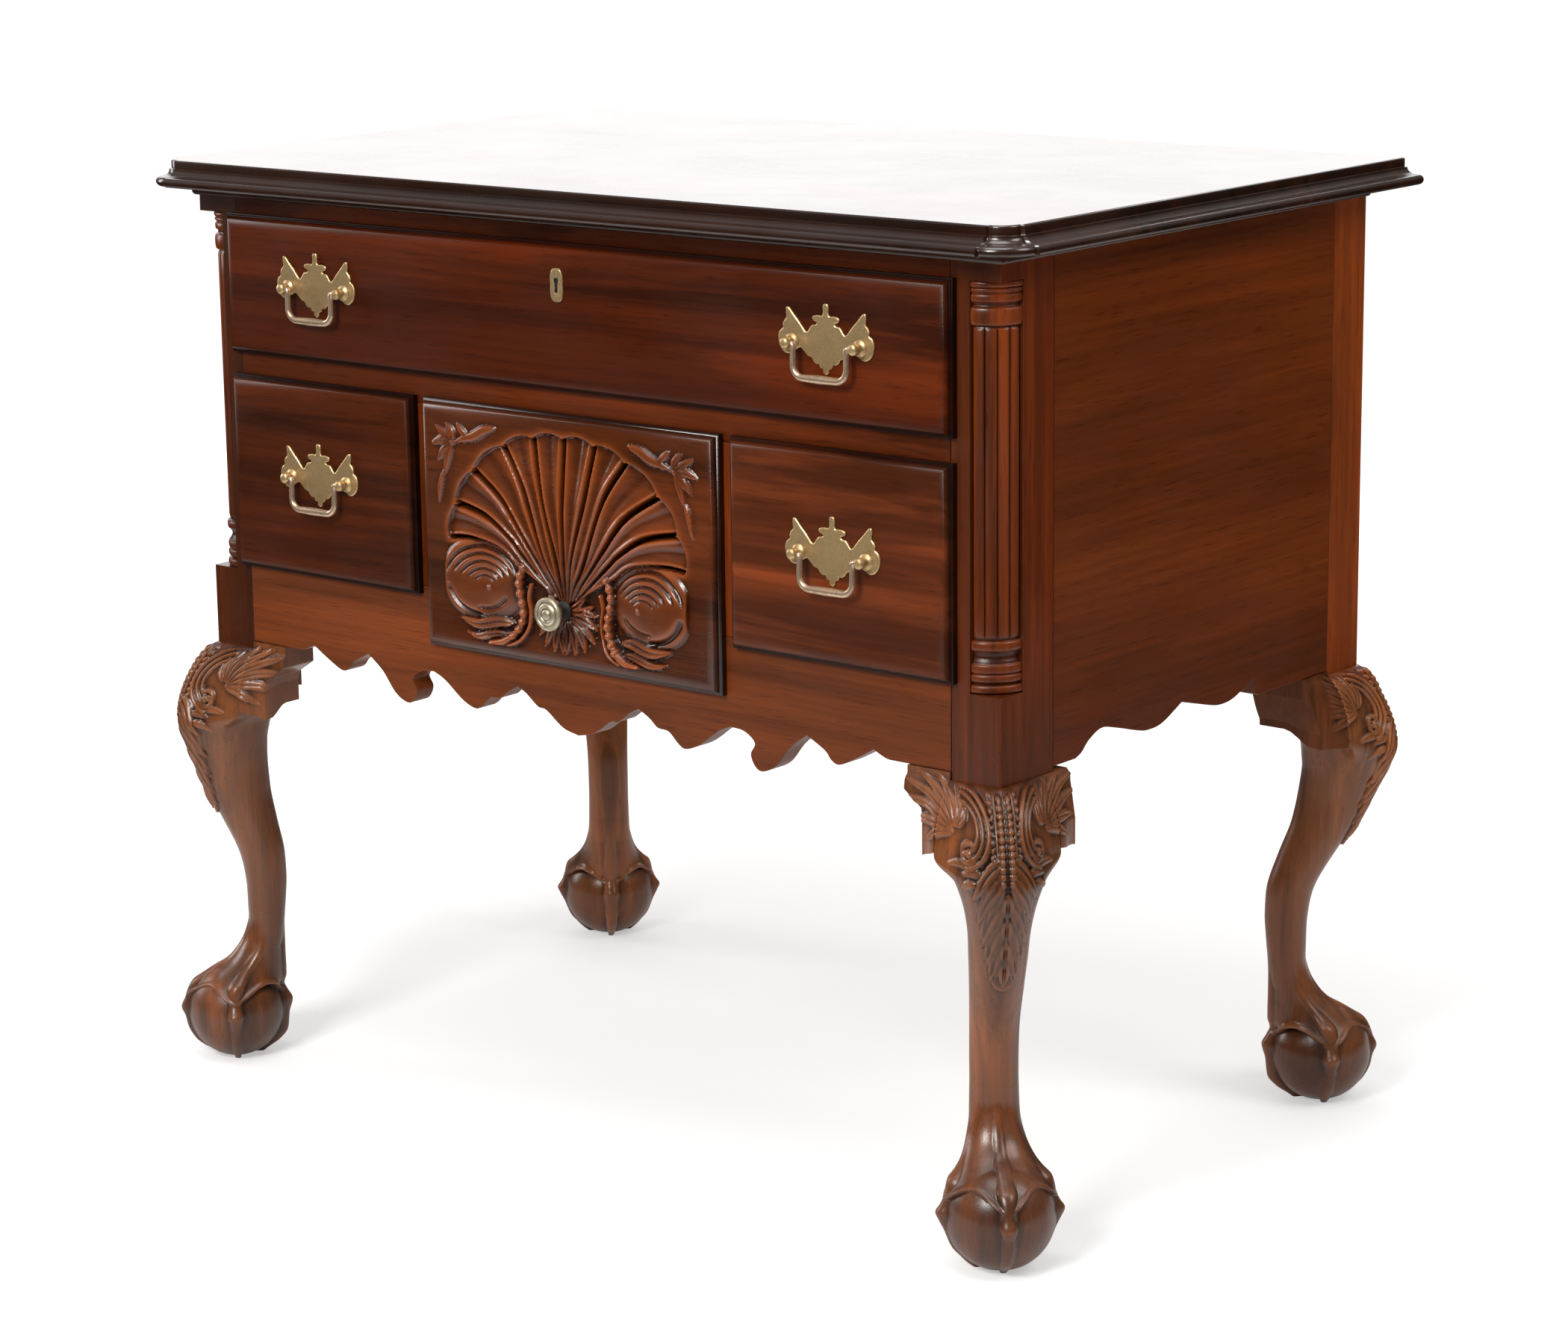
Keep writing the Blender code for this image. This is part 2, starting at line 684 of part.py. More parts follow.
def pull(name, parent, x, z):
    face = -FACE_OUT - GAP
    plate = prism(
        name + "_backplate",
        [(x + px, z + pz) for px, pz in mirrored(PLATE_HALF)],
        "Y",
        (face - PLATE_T, face),
        "brass",
    )
    axis = (x, FRONT_Y + face - PIN_OUT, z + PIN_UP)
    for k, side in enumerate((-1, 1)):
        at = (x + side * POST_X, FRONT_Y + face, axis[2])
        stud = cylinder(f"{name}_stud{k}", at, "Y", POST_R, (-POST_LEN, -PLATE_T / 2), 12, None)
        boolean(plate, stud, "UNION")
    for k, side in enumerate((-1, 1)):
        at = (x + side * POST_X, axis[1], axis[2])
        hole = cylinder(f"{name}_hole{k}", at, "X", HOLE_R, sorted((side * 0.0015, -side * 0.008)), 12, None)
        boolean(plate, hole, "DIFFERENCE")
    path = [(-POST_X + 0.0002, PIN_R), (-POST_X + POST_R + 0.0006, PIN_R), (-BAIL_X - 0.0012, BAIL_R)]
    flat = [(px, 0.0, r) for px, r in path]
    flat.append((-BAIL_X, -0.0014, BAIL_R))
    for i in range(BEND_STEPS + 1):
        t = math.pi / 2 * i / BEND_STEPS
        flat.append(
            (
                -BAIL_X + BAIL_BEND * (1 - math.cos(t)),
                -BAIL_DROP + BAIL_BEND * (1 - math.sin(t)),
                BAIL_R + 0.0004 * i / BEND_STEPS,
            )
        )
    flat += [(-px, pz, r) for px, pz, r in reversed(flat)]
    bail = sweep(
        name + "_bail",
        [(axis[0] + px, axis[1], axis[2] + pz) for px, pz, r in flat],
        [r for px, pz, r in flat],
        6,
        "brass",
        axis,
    )
    attach(plate, parent)
    attach(bail, parent)


pull("top_left_pull", TOP_DRAWER, -TOP_PULL_X, TOP_PULL_Z)
pull("top_right_pull", TOP_DRAWER, TOP_PULL_X, TOP_PULL_Z)
pull("lower_left_pull", LEFT_DRAWER, -LOW_PULL_X, LOW_PULL_Z)
pull("lower_right_pull", RIGHT_DRAWER, LOW_PULL_X, LOW_PULL_Z)

escutcheon = prism(
    "escutcheon",
    [(px, KEY_Z + pz) for px, pz in mirrored(KEY_HALF)],
    "Y",
    (-FACE_OUT - GAP - PLATE_T, -FACE_OUT - GAP),
    "brass",
)
keyhole = prism(
    "keyhole",
    [
        (px, KEY_Z + pz)
        for px, pz in mirrored(((0.0, 0.0052), (0.0020, 0.0044), (0.0026, 0.0024), (0.0013, 0.0004), (0.0016, -0.0052), (0.0, -0.0056)))
    ],
    "Y",
    (-FACE_OUT - 0.006, -FACE_OUT + 0.004),
    None,
)
boolean(escutcheon, keyhole, "DIFFERENCE")
attach(escutcheon, TOP_DRAWER)

knob_rings = []
for out, radius in KNOB_PROFILE:
    knob_rings.append(
        [
            (
                radius * math.cos(2 * math.pi * i / 20),
                FRONT_Y - FACE_OUT - out,
                KNOB_Z + radius * math.sin(2 * math.pi * i / 20),
            )
            for i in range(20)
        ]
    )
attach(loft("shell_drawer_knob", knob_rings, "brass"), MIDDLE_DRAWER)

lock = box(
    "lock_case",
    (-LOCK_X, LOCK_X),
    (FRONT_IN + GAP, FRONT_IN + GAP + LOCK_T),
    LOCK_Z,
    "iron",
)
pocket = box(
    "bolt_pocket",
    (-BOLT_X - GAP, BOLT_X + GAP),
    (bolt_y - BOLT_T / 2 - GAP, bolt_y + BOLT_T / 2 + GAP),
    (BOLT_Z[0] - GAP, LOCK_Z[1] + 0.01),
    None,
)
boolean(lock, pocket, "DIFFERENCE")
attach(lock, TOP_DRAWER)
bolt = box("lock_bolt", (-BOLT_X, BOLT_X), (bolt_y - BOLT_T / 2, bolt_y + BOLT_T / 2), BOLT_Z, "iron")
attach(bolt, TOP_DRAWER)
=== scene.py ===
"""The looks of a carved mahogany lowboy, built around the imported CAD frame. Metres, in the CAD's frame."""

import math

import bmesh
import bpy
import numpy as np
from mathutils import Matrix, Vector


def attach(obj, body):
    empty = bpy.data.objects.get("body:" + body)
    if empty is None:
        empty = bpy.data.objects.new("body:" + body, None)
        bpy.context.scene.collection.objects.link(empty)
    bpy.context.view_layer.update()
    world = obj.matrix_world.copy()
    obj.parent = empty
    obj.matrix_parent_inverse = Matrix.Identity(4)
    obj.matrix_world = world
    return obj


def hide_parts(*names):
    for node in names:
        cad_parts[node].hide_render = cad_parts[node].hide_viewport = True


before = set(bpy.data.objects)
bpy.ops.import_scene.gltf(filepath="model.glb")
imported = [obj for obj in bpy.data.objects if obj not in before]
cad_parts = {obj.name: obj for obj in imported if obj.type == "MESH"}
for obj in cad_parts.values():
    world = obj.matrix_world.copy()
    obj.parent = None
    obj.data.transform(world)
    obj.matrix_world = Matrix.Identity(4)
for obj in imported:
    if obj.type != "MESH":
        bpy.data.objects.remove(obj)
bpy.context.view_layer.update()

# ------------------------------------------------------------------ sizes repeated from the CAD
FRONT_Y = -0.2365
CASE_W, CASE_D = 0.8110, 0.4850
HALF = CASE_W / 2
GAP = 0.0003
TOP_OVER_SIDE, TOP_OVER_BACK = 0.036, 0.025
CORNER_CENTRE, CORNER_R = 0.032, 0.029
POST_TOP, POST_BOTTOM = 0.7463, 0.3620
POST_W, POST_FRONT_D, POST_BACK_D = 0.0440, 0.0645, 0.0456
RECESS, RECESS_Z = 0.0270, (0.4280, 0.7253)
BED_H, BED_OUT = 0.0080, 0.0040
KNEE_BACK, KNEE_BACK_REAR, KNEE_START = 0.0300, 0.0480, 0.0448
OPEN_X = 0.3613
TOP_OPEN, LOW_OPEN, MID_OPEN = (0.6185, 0.7205), (0.4400, 0.5885), (0.4010, 0.5885)
DIVIDER_X = (0.1460, 0.1685)
FIT, LIP, FRONT_IN, LIP_T, FACE_OUT, THUMB_IN = 0.0010, 0.0060, 0.0125, 0.0050, 0.0115, 0.0110
TOP_PULL_X, LOW_PULL_X, TOP_PULL_Z, LOW_PULL_Z = 0.2600, 0.2640, 0.6755, 0.5205
PLATE_T, POST_X, POST_R, POST_LEN = 0.0015, 0.0311, 0.0042, 0.0120
PIN_OUT, PIN_UP, PIN_R = 0.0085, -0.0040, 0.0016
BAIL_X, BAIL_DROP, BAIL_BEND, BAIL_R = 0.0244, 0.0245, 0.0090, 0.0022
KNOB_Z, KEY_Z = 0.4430, 0.6952
FACE_Y = FRONT_Y - FACE_OUT


# ------------------------------------------------------------------ curves
def pchip(knots):
    """A smooth curve through (x, y) knots that never overshoots them."""
    k = np.array(sorted(knots), float)
    x, y = k[:, 0], k[:, 1]
    h = np.diff(x)
    d = np.diff(y) / h
    m = np.zeros(len(x))
    m[0], m[-1] = d[0], d[-1]
    for i in range(1, len(x) - 1):
        if d[i - 1] * d[i] > 0:
            a, b = 2 * h[i] + h[i - 1], h[i] + 2 * h[i - 1]
            m[i] = (a + b) / (a / d[i - 1] + b / d[i])

    def f(v):
        v = np.clip(np.asarray(v, float), x[0], x[-1])
        i = np.clip(np.searchsorted(x, v, side="right") - 1, 0, len(x) - 2)
        t = (v - x[i]) / h[i]
        return (
            (1 + 2 * t) * (1 - t) ** 2 * y[i]
            + t * (1 - t) ** 2 * h[i] * m[i]
            + t * t * (3 - 2 * t) * y[i + 1]
            + t * t * (t - 1) * h[i] * m[i + 1]
        )

    return f


def spline(points, n):
    """n points on a smooth curve through the given ones."""
    p = np.array(points, float)
    q = np.vstack([2 * p[0] - p[1], p, 2 * p[-1] - p[-2]])
    seg = len(p) - 1
    out = []
    for v in np.linspace(0, seg, n):
        i = min(int(v), seg - 1)
        t = v - i
        a, b, c, d = q[i : i + 4]
        out.append(0.5 * (2 * b + (c - a) * t + (2 * a - 5 * b + 4 * c - d) * t * t + (3 * b - 3 * c + d - a) * t**3))
    return np.array(out)


def smooth01(v):
    v = np.clip(v, 0, 1)
    return v * v * (3 - 2 * v)


def arc(cx, cz, r, a0, a1, n=24):
    t = np.radians(np.linspace(a0, a1, n))
    return np.stack([cx + r * np.cos(t), cz + r * np.sin(t)], 1)


def arcs_line(arcs, n=6):
    """One line through several arcs that meet in cusps; n points to each span."""
    line = [tuple(arcs[0][0])]
    for points in arcs:
        line += [tuple(p) for p in spline(points, n * (len(points) - 1) + 1)[1:]]
    return line


# ------------------------------------------------------------------ carving
class Relief:
    """Heights in millimetres of carved strokes over a field of points, also in millimetres."""

    def __init__(self, x, z):
        self.x, self.z = np.ravel(x), np.ravel(z)
        self.ground = np.zeros(len(self.x))
        self.h = np.zeros(len(self.x))
        self.cuts = np.zeros(len(self.x))

    def near(self, path, reach):
        lo, hi = path.min(0) - reach, path.max(0) + reach
        pick = np.nonzero((self.x > lo[0]) & (self.x < hi[0]) & (self.z > lo[1]) & (self.z < hi[1]))[0]
        px, pz = self.x[pick], self.z[pick]
        best = np.full(len(pick), 1e9)
        along = np.zeros(len(pick))
        side = np.zeros(len(pick))
        steps = np.diff(path, axis=0)
        lengths = np.hypot(steps[:, 0], steps[:, 1])
        start = np.concatenate([[0], np.cumsum(lengths)])
        for i, d in enumerate(steps):
            a = path[i]
            t = np.clip(((px - a[0]) * d[0] + (pz - a[1]) * d[1]) / max(lengths[i] ** 2, 1e-9), 0, 1)
            dx, dz = px - a[0] - t * d[0], pz - a[1] - t * d[1]
            r = np.hypot(dx, dz)
            closer = r < best
            best[closer] = r[closer]
            along[closer] = ((start[i] + t * lengths[i]) / start[-1])[closer]
            side[closer] = np.sign(d[0] * dz - d[1] * dx)[closer]
        return pick, best, along, side

    def ridge(self, path, w, h, shape="even", vein=0.0, rise=0.0):
        """A raised stroke. leaf: pointed at both ends; fang: full at its start, pointed at its end."""
        path = np.asarray(path, float)
        if len(path) < 9:
            path = spline(path, 18)
        pick, dist, t, side = self.near(path, w * 1.05)
        if shape == "leaf":
            wide = w * np.sin(np.pi * np.clip(t, 0, 1) ** 0.75) ** 0.75
        elif shape == "fang":
            wide = w * np.clip(1 - t**1.6, 0, 1) ** 0.8
        else:
            wide = np.full(len(t), float(w))
        c = np.clip(dist / np.maximum(wide, 1e-6), 0, 1)
        v = np.where(wide > 0.05, np.sqrt(np.clip(1 - c**2.2, 0, 1)), 0.0) * (h + rise * t)
        if shape != "even":
            v = v * (0.45 + 0.55 * np.clip(wide / w, 0, 1))
        if vein:
            v = v * (1 - vein * np.exp(-((dist / (0.20 * w)) ** 2)) * (t > 0.03) * (t < 0.93))
        self.h[pick] = np.maximum(self.h[pick], v)

    def boss(self, x, z, r, h, power=2.0):
        d = np.hypot(self.x - x, self.z - z) / r
        self.h = np.maximum(self.h, np.where(d < 1, h * np.clip(1 - d**power, 0, 1) ** 0.5, 0))

    def cut(self, path, w, depth, fade=True):
        path = np.asarray(path, float)
        if len(path) < 9:
            path = spline(path, 18)
        pick, dist, t, _ = self.near(path, w * 2.6)
        v = depth * np.exp(-((dist / w) ** 2))
        if fade:
            v = v * np.clip(np.minimum(t, 1 - t) * 8, 0, 1)
        self.cuts[pick] = np.maximum(self.cuts[pick], v)

    def total(self):
        return self.ground + self.h - self.cuts


def cavity(height, scale, passes=3, reach=3, wrap=False):
    """How far each point of a height grid lies below (+) or above (-) its surroundings, within -1..1."""
    blur = height.astype(float)
    for _ in range(passes):
        for axis in (0, 1):
            total = np.zeros_like(blur)
            for k in range(-reach, reach + 1):
                if axis == 1 and wrap:
                    total += np.roll(blur, k, axis=1)
                else:
                    n = blur.shape[axis]
                    total += np.take(blur, np.clip(np.arange(n) + k, 0, n - 1), axis=axis)
            blur = total / (2 * reach + 1)
    return np.clip((blur - height) / scale, -1, 1)


# ------------------------------------------------------------------ materials
class Graph:
    def __init__(self, name):
        self.mat = bpy.data.materials.new(name)
        self.mat.use_nodes = True
        self.tree = self.mat.node_tree
        self.bsdf = self.tree.nodes["Principled BSDF"]

    def node(self, kind, inputs=None, **settings):
        n = self.tree.nodes.new(kind)
        for key, value in settings.items():
            setattr(n, key, value)
        for key, value in (inputs or {}).items():
            self.feed(n.inputs[key], value)
        return n

    def feed(self, socket, value):
        if isinstance(value, bpy.types.NodeSocket):
            self.tree.links.new(value, socket)
        else:
            socket.default_value = value

    def noise(self, coord, offset, scale, detail=4.0, rough=0.55, distortion=0.0):
        m = self.node("ShaderNodeMapping", {"Vector": coord, "Location": offset, "Scale": scale})
        n = self.node(
            "ShaderNodeTexNoise",
            {"Vector": m.outputs[0], "Scale": 1.0, "Detail": detail, "Roughness": rough, "Distortion": distortion},
        )
        return n.outputs[0]

    def remap(self, value, a, b, c, d):
        return self.node("ShaderNodeMapRange", {0: value, 1: a, 2: b, 3: c, 4: d}).outputs[0]

    def math(self, op, a, b):
        return self.node("ShaderNodeMath", {0: a, 1: b}, operation=op).outputs[0]

    def mix(self, blend, fac, a, b):
        return self.node("ShaderNodeMix", {0: fac, 6: a, 7: b}, data_type="RGBA", blend_type=blend).outputs[2]

    def ramp(self, value, stops):
        n = self.node("ShaderNodeValToRGB", {0: value})
        n.color_ramp.interpolation = "EASE"
        while len(n.color_ramp.elements) < len(stops):
            n.color_ramp.elements.new(0.5)
        for element, (at, colour) in zip(n.color_ramp.elements, stops):
            element.position = at
            element.color = (*colour, 1.0)
        return n.outputs[0]


def axis_scale(grain, across, along):
    s = [across] * 3
    s[grain] = along
    return tuple(s)


def tint(colour, k, warm=0.0):
    return (colour[0] * k * (1 + warm), colour[1] * k, colour[2] * k * (1 - warm))


def wood(name, mid, grain, seed, rough=0.34, spec=0.22, coat=0.0, streak=0.45, contrast=1.0, figure=26.0, upper=None, lower=None, ridge_highlight=0.30, highlight_tint=2.1, wear=1.0):
    """Mahogany: long streaky figure, broad clouds of colour, short open pores, darker in carved recesses as painted
    shade and lighter on raised ridges as painted highlight.
    """
    g = Graph(name)
    coord = g.node("ShaderNodeTexCoord").outputs["Object"]
    off = lambda k: (seed * 3.17 + k, seed * 1.71 - k, seed * 2.39 + 2 * k)
    fig = g.noise(coord, off(0), axis_scale(grain, figure, 1.7), 6.0, 0.58, 0.9)
    dark, light = tint(mid, 1 - 0.46 * contrast, -0.04), tint(mid, 1 + 0.42 * contrast, 0.05)
    colour = g.ramp(fig, ((0.35, dark), (0.50, mid), (0.66, light)))
    broad = g.noise(coord, off(3), axis_scale(grain, 6.5, 1.3), 2.0, 0.5, 0.3)
    colour = g.mix("MULTIPLY", 1.0, colour, g.remap(broad, 0.34, 0.66, 1.24, 0.74))
    band = g.noise(coord, off(5), axis_scale(grain, 23.0, 0.8), 3.0, 0.6, 0.5)
    colour = g.mix("MIX", g.remap(band, 0.50, 0.63, 0.0, streak), colour, (*tint(mid, 0.42), 1.0))
    fibre = g.noise(coord, off(7), axis_scale(grain, 210.0, 5.0), 3.0, 0.6)
    colour = g.mix("MULTIPLY", 1.0, colour, g.remap(fibre, 0.3, 0.7, 0.84, 1.14))
    pores = g.noise(coord, off(9), axis_scale(grain, 900.0, 42.0), 1.0, 0.4)
    pit = g.remap(pores, 0.62, 0.72, 0.0, 1.0)
    colour = g.mix("MULTIPLY", g.math("MULTIPLY", pit, 0.45), colour, (0.30, 0.22, 0.18, 1.0))
    # painted shade: the cavity attribute darkens the colour in hollows and carved recesses
    cav = g.node("ShaderNodeAttribute", attribute_name="cavity").outputs["Fac"]
    colour = g.mix("MULTIPLY", g.remap(cav, 0.0, 1.0, 0.0, 0.94), colour, (0.11, 0.08, 0.07, 1.0))
    # painted highlight: raised ridges, where the cavity is negative, are mixed towards a lighter copy of the tone
    colour = g.mix("MIX", g.remap(cav, 0.0, -1.0, 0.0, ridge_highlight), colour, (*tint(mid, highlight_tint, -0.06), 1.0))
    if upper:
        high = g.node("ShaderNodeSeparateXYZ", {"Vector": coord}).outputs["Z"]
        colour = g.mix("MULTIPLY", g.remap(high, upper[0], upper[1], 0.0, 1.0), colour, (*upper[2], 1.0))
        if lower:
            colour = g.mix("MULTIPLY", g.remap(high, lower[0], lower[1], 1.0, 0.0), colour, (*lower[2], 1.0))
    g.feed(g.bsdf.inputs["Base Color"], colour)
    worn = g.noise(coord, off(11), (9.0, 9.0, 9.0), 3.0, 0.6)
    g.feed(g.bsdf.inputs["Roughness"], g.remap(worn, 0.3, 0.7, rough - 0.06 * wear, rough + 0.09 * wear))
    height = g.math("ADD", g.math("MULTIPLY", fibre, 0.5), g.math("MULTIPLY", pit, -0.6))
    bump = g.node("ShaderNodeBump", {"Height": height, "Strength": 0.16, "Distance": 0.0006})
    g.feed(g.bsdf.inputs["Normal"], bump.outputs[0])
    g.bsdf.inputs["Specular IOR Level"].default_value = spec
    g.bsdf.inputs["Coat Weight"].default_value = coat
    g.bsdf.inputs["Coat Roughness"].default_value = 0.14
    return g.mat


def plain_wood(name, mid, grain, seed):
    """Pale secondary wood, left unpolished."""
    g = Graph(name)
    coord = g.node("ShaderNodeTexCoord").outputs["Object"]
    off = lambda k: (seed * 2.3 + k, seed * 1.3 - k, seed * 1.9 + k)
    fig = g.noise(coord, off(0), axis_scale(grain, 34.0, 2.2), 5.0, 0.6, 0.6)
    colour = g.ramp(fig, ((0.28, tint(mid, 0.62)), (0.52, mid), (0.75, tint(mid, 1.28))))
    fibre = g.noise(coord, off(5), axis_scale(grain, 320.0, 8.0), 2.0, 0.5)
    colour = g.mix("MULTIPLY", 1.0, colour, g.remap(fibre, 0.3, 0.7, 0.82, 1.12))
    stain = g.noise(coord, off(8), (5.0, 5.0, 5.0), 3.0, 0.6)
    colour = g.mix("MULTIPLY", g.remap(stain, 0.45, 0.75, 0.0, 0.5), colour, (0.45, 0.36, 0.28, 1.0))
    g.feed(g.bsdf.inputs["Base Color"], colour)
    g.feed(g.bsdf.inputs["Roughness"], g.remap(fibre, 0.3, 0.7, 0.55, 0.75))
    bump = g.node("ShaderNodeBump", {"Height": fibre, "Strength": 0.25, "Distance": 0.0006})
    g.feed(g.bsdf.inputs["Normal"], bump.outputs[0])
    g.bsdf.inputs["Specular IOR Level"].default_value = 0.2
    return g.mat


def metal(name, bright, dull, rough, metallic, seed):
    """Old metal: rubbed bright in places, dull and darker in the hollows."""
    g = Graph(name)
    coord = g.node("ShaderNodeTexCoord").outputs["Object"]
    patch = g.noise(coord, (seed, 2 * seed, 3 * seed), (140.0,) * 3, 4.0, 0.6)
    colour = g.mix("MIX", g.remap(patch, 0.40, 0.66, 0.0, 0.85), (*bright, 1.0), (*dull, 1.0))
    speck = g.noise(coord, (3 * seed, seed, seed), (900.0,) * 3, 2.0, 0.5)
    colour = g.mix("MULTIPLY", g.remap(speck, 0.56, 0.70, 0.0, 0.5), colour, (0.40, 0.32, 0.22, 1.0))
    cav = g.node("ShaderNodeAttribute", attribute_name="cavity").outputs["Fac"]
    colour = g.mix("MULTIPLY", g.remap(cav, 0.0, 1.0, 0.0, 0.85), colour, (0.14, 0.10, 0.06, 1.0))
    g.feed(g.bsdf.inputs["Base Color"], colour)
    g.feed(g.bsdf.inputs["Roughness"], g.remap(patch, 0.3, 0.7, rough - 0.07, rough + 0.14))
    bump = g.node("ShaderNodeBump", {"Height": speck, "Strength": 0.10, "Distance": 0.0003})
    g.feed(g.bsdf.inputs["Normal"], bump.outputs[0])
    g.bsdf.inputs["Metallic"].default_value = metallic
    return g.mat


RED = (0.114, 0.0205, 0.0020)
BROWN = (0.180, 0.0570, 0.0170)
# The post tones multiply a finish above the knee: the darker tones of the front legs paint shade on the posts' fronts,
# the lighter, redder tone paints light on the posts' outer faces, and the base tone makes that lit face darker and less
# red towards the bottom.
POST_TONE = (0.350, 0.364, (0.34, 0.22, 0.09))
LIT_POST_SIDE_TONE = (0.350, 0.364, (0.72, 0.35, 0.04))
POST_BASE_TONE = (0.395, 0.455, (0.64, 0.80, 1.30))
REAR_TONE = (0.350, 0.364, (1.16, 0.66, 0.20))
RIGHT_POST_TONE = (0.350, 0.364, (0.42, 0.27, 0.11))
FOOT_TONE = (0.038, 0.100, (0.58, 0.57, 0.60))
RIGHT_FOOT_TONE = (0.045, 0.150, (0.68, 0.66, 0.70))
M = {
    "top": wood("mahogany_top", (0.058, 0.0140, 0.0040), 0, 1.0, rough=0.26, spec=0.5, coat=0.5, wear=0.3),
    # a darker copy of the top's finish for its moulded edge: painted shade
    "shaded_top_edge": wood("mahogany_top_edge", (0.022, 0.0064, 0.0022), 0, 1.0, rough=0.26, spec=0.5, coat=0.5),
    "mould": wood("mahogany_moulding", (0.034, 0.0095, 0.0030), 0, 1.6, rough=0.28, spec=0.5, coat=0.2),
    "rail": wood("mahogany_rail", (0.080, 0.0135, 0.0008), 0, 2.0, streak=0.45),
    "apron": wood("mahogany_apron", (0.117, 0.0258, 0.0045), 0, 2.7, streak=0.16, spec=0.28, contrast=0.55),
    "upright": wood("mahogany_upright", tint(RED, 0.90), 2, 3.1, streak=0.30),
    "side": wood("mahogany_side", (0.116, 0.0205, 0.0008), 1, 4.3, streak=0.10, contrast=0.34),
    "leg": wood("mahogany_leg", tint(BROWN, 0.90), 2, 5.2, rough=0.29, spec=0.52, streak=0.45, contrast=0.9, upper=POST_TONE, lower=FOOT_TONE, ridge_highlight=0.45),
    "right_leg": wood("mahogany_right_leg", tint(BROWN, 0.73, 0.03), 2, 5.2, rough=0.29, spec=0.52, streak=0.55, contrast=1.0, upper=RIGHT_POST_TONE, lower=RIGHT_FOOT_TONE, ridge_highlight=0.45),
    # a lighter copy of the leg finish for the posts' outer faces: painted light
    "lit_post_side": wood("mahogany_post_side", tint(BROWN, 0.90), 2, 5.2, rough=0.32, spec=0.30, streak=0.30, contrast=0.7, upper=LIT_POST_SIDE_TONE, lower=POST_BASE_TONE),
    "rear_leg": wood("mahogany_rear_leg", tint(BROWN, 1.12), 2, 5.5, rough=0.30, spec=0.40, streak=0.45, contrast=0.9, upper=REAR_TONE, lower=FOOT_TONE, ridge_highlight=0.45),
    "block": wood("mahogany_knee_block", tint(BROWN, 0.80), 2, 5.9, rough=0.30, spec=0.50, streak=0.35, contrast=0.8, ridge_highlight=0.45),
    # the rear knee blocks take a darker, duller copy of the block finish: painted shade
    "shaded_rear_block": wood("mahogany_rear_block", tint(BROWN, 0.58, 0.10), 2, 6.1, rough=0.48, spec=0.12, streak=0.45, contrast=0.8),
    "column": wood("mahogany_column", tint(RED, 1.04), 2, 6.4, rough=0.30, spec=0.35, streak=0.3),
    "top_drawer": wood("mahogany_top_drawer", (0.066, 0.0098, 0.0005), 0, 7.3, streak=0.85, contrast=1.25),
    "left_drawer": wood("mahogany_left_drawer", (0.050, 0.0090, 0.0009), 0, 8.6, streak=0.85, contrast=1.25),
    "right_drawer": wood("mahogany_right_drawer", (0.122, 0.0240, 0.0044), 0, 9.4, streak=0.85, contrast=1.25),
    # the shell's carved ridges get a strong painted highlight
    "shell_drawer": wood("mahogany_shell_drawer", (0.071, 0.0150, 0.0024), 0, 10.2, rough=0.25, spec=0.60, streak=0.30, ridge_highlight=0.90, highlight_tint=4.4),
    "second_x": plain_wood("drawer_wood_across", (0.30, 0.175, 0.080), 0, 1.0),
    "second_y": plain_wood("drawer_wood_along", (0.30, 0.175, 0.080), 1, 2.0),
    "brass": metal("old_brass", (0.62, 0.44, 0.22), (0.40, 0.26, 0.12), 0.38, 0.80, 1.0),
    "bail": metal("worn_brass", (0.66, 0.48, 0.34), (0.42, 0.28, 0.18), 0.30, 0.82, 2.0),
    "knob": metal("pale_brass", (0.60, 0.53, 0.38), (0.38, 0.32, 0.22), 0.34, 0.78, 5.0),
    "iron": metal("lock_iron", (0.20, 0.19, 0.18), (0.06, 0.05, 0.045), 0.50, 0.8, 3.0),
    # near-black finish painted as shadow: inside the keyhole and at the knob's foot
    "hole": metal("keyhole_dark", (0.012, 0.009, 0.007), (0.005, 0.004, 0.003), 0.7, 0.1, 4.0),
}


# ------------------------------------------------------------------ making pieces
def make(name, verts, faces, mats, body, nodes, sharp=38.0, cav=None, face_mats=None, bevel=0.0):
    mesh = bpy.data.meshes.new(name)
    mesh.from_pydata([tuple(map(float, v)) for v in verts], [], [tuple(map(int, f)) for f in faces])
    work = bmesh.new()
    work.from_mesh(mesh)
    bmesh.ops.recalc_face_normals(work, faces=work.faces)
    work.to_mesh(mesh)
    work.free()
    for mat in mats if isinstance(mats, (list, tuple)) else [mats]:
        mesh.materials.append(mat)
    if face_mats is not None:
        mesh.polygons.foreach_set("material_index", np.asarray(face_mats, np.int32))
    if cav is not None:
        mesh.attributes.new("cavity", "FLOAT", "POINT").data.foreach_set("value", np.ravel(cav).astype(np.float32))
    mesh.polygons.foreach_set("use_smooth", np.ones(len(mesh.polygons), bool))
    mesh.set_sharp_from_angle(angle=math.radians(sharp))
    mesh.polygons.foreach_set("use_smooth", np.array([len(p.vertices) <= 4 for p in mesh.polygons], bool))
    mesh.update()
    obj = bpy.data.objects.new(name, mesh)
    bpy.context.scene.collection.objects.link(obj)
    if bevel:
        mod = obj.modifiers.new("arris", "BEVEL")
        mod.width, mod.segments = bevel, 2
        mod.limit_method, mod.angle_limit = "ANGLE", math.radians(40)
        mod.harden_normals = False
    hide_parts(*nodes)
    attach(obj, body)
    return obj


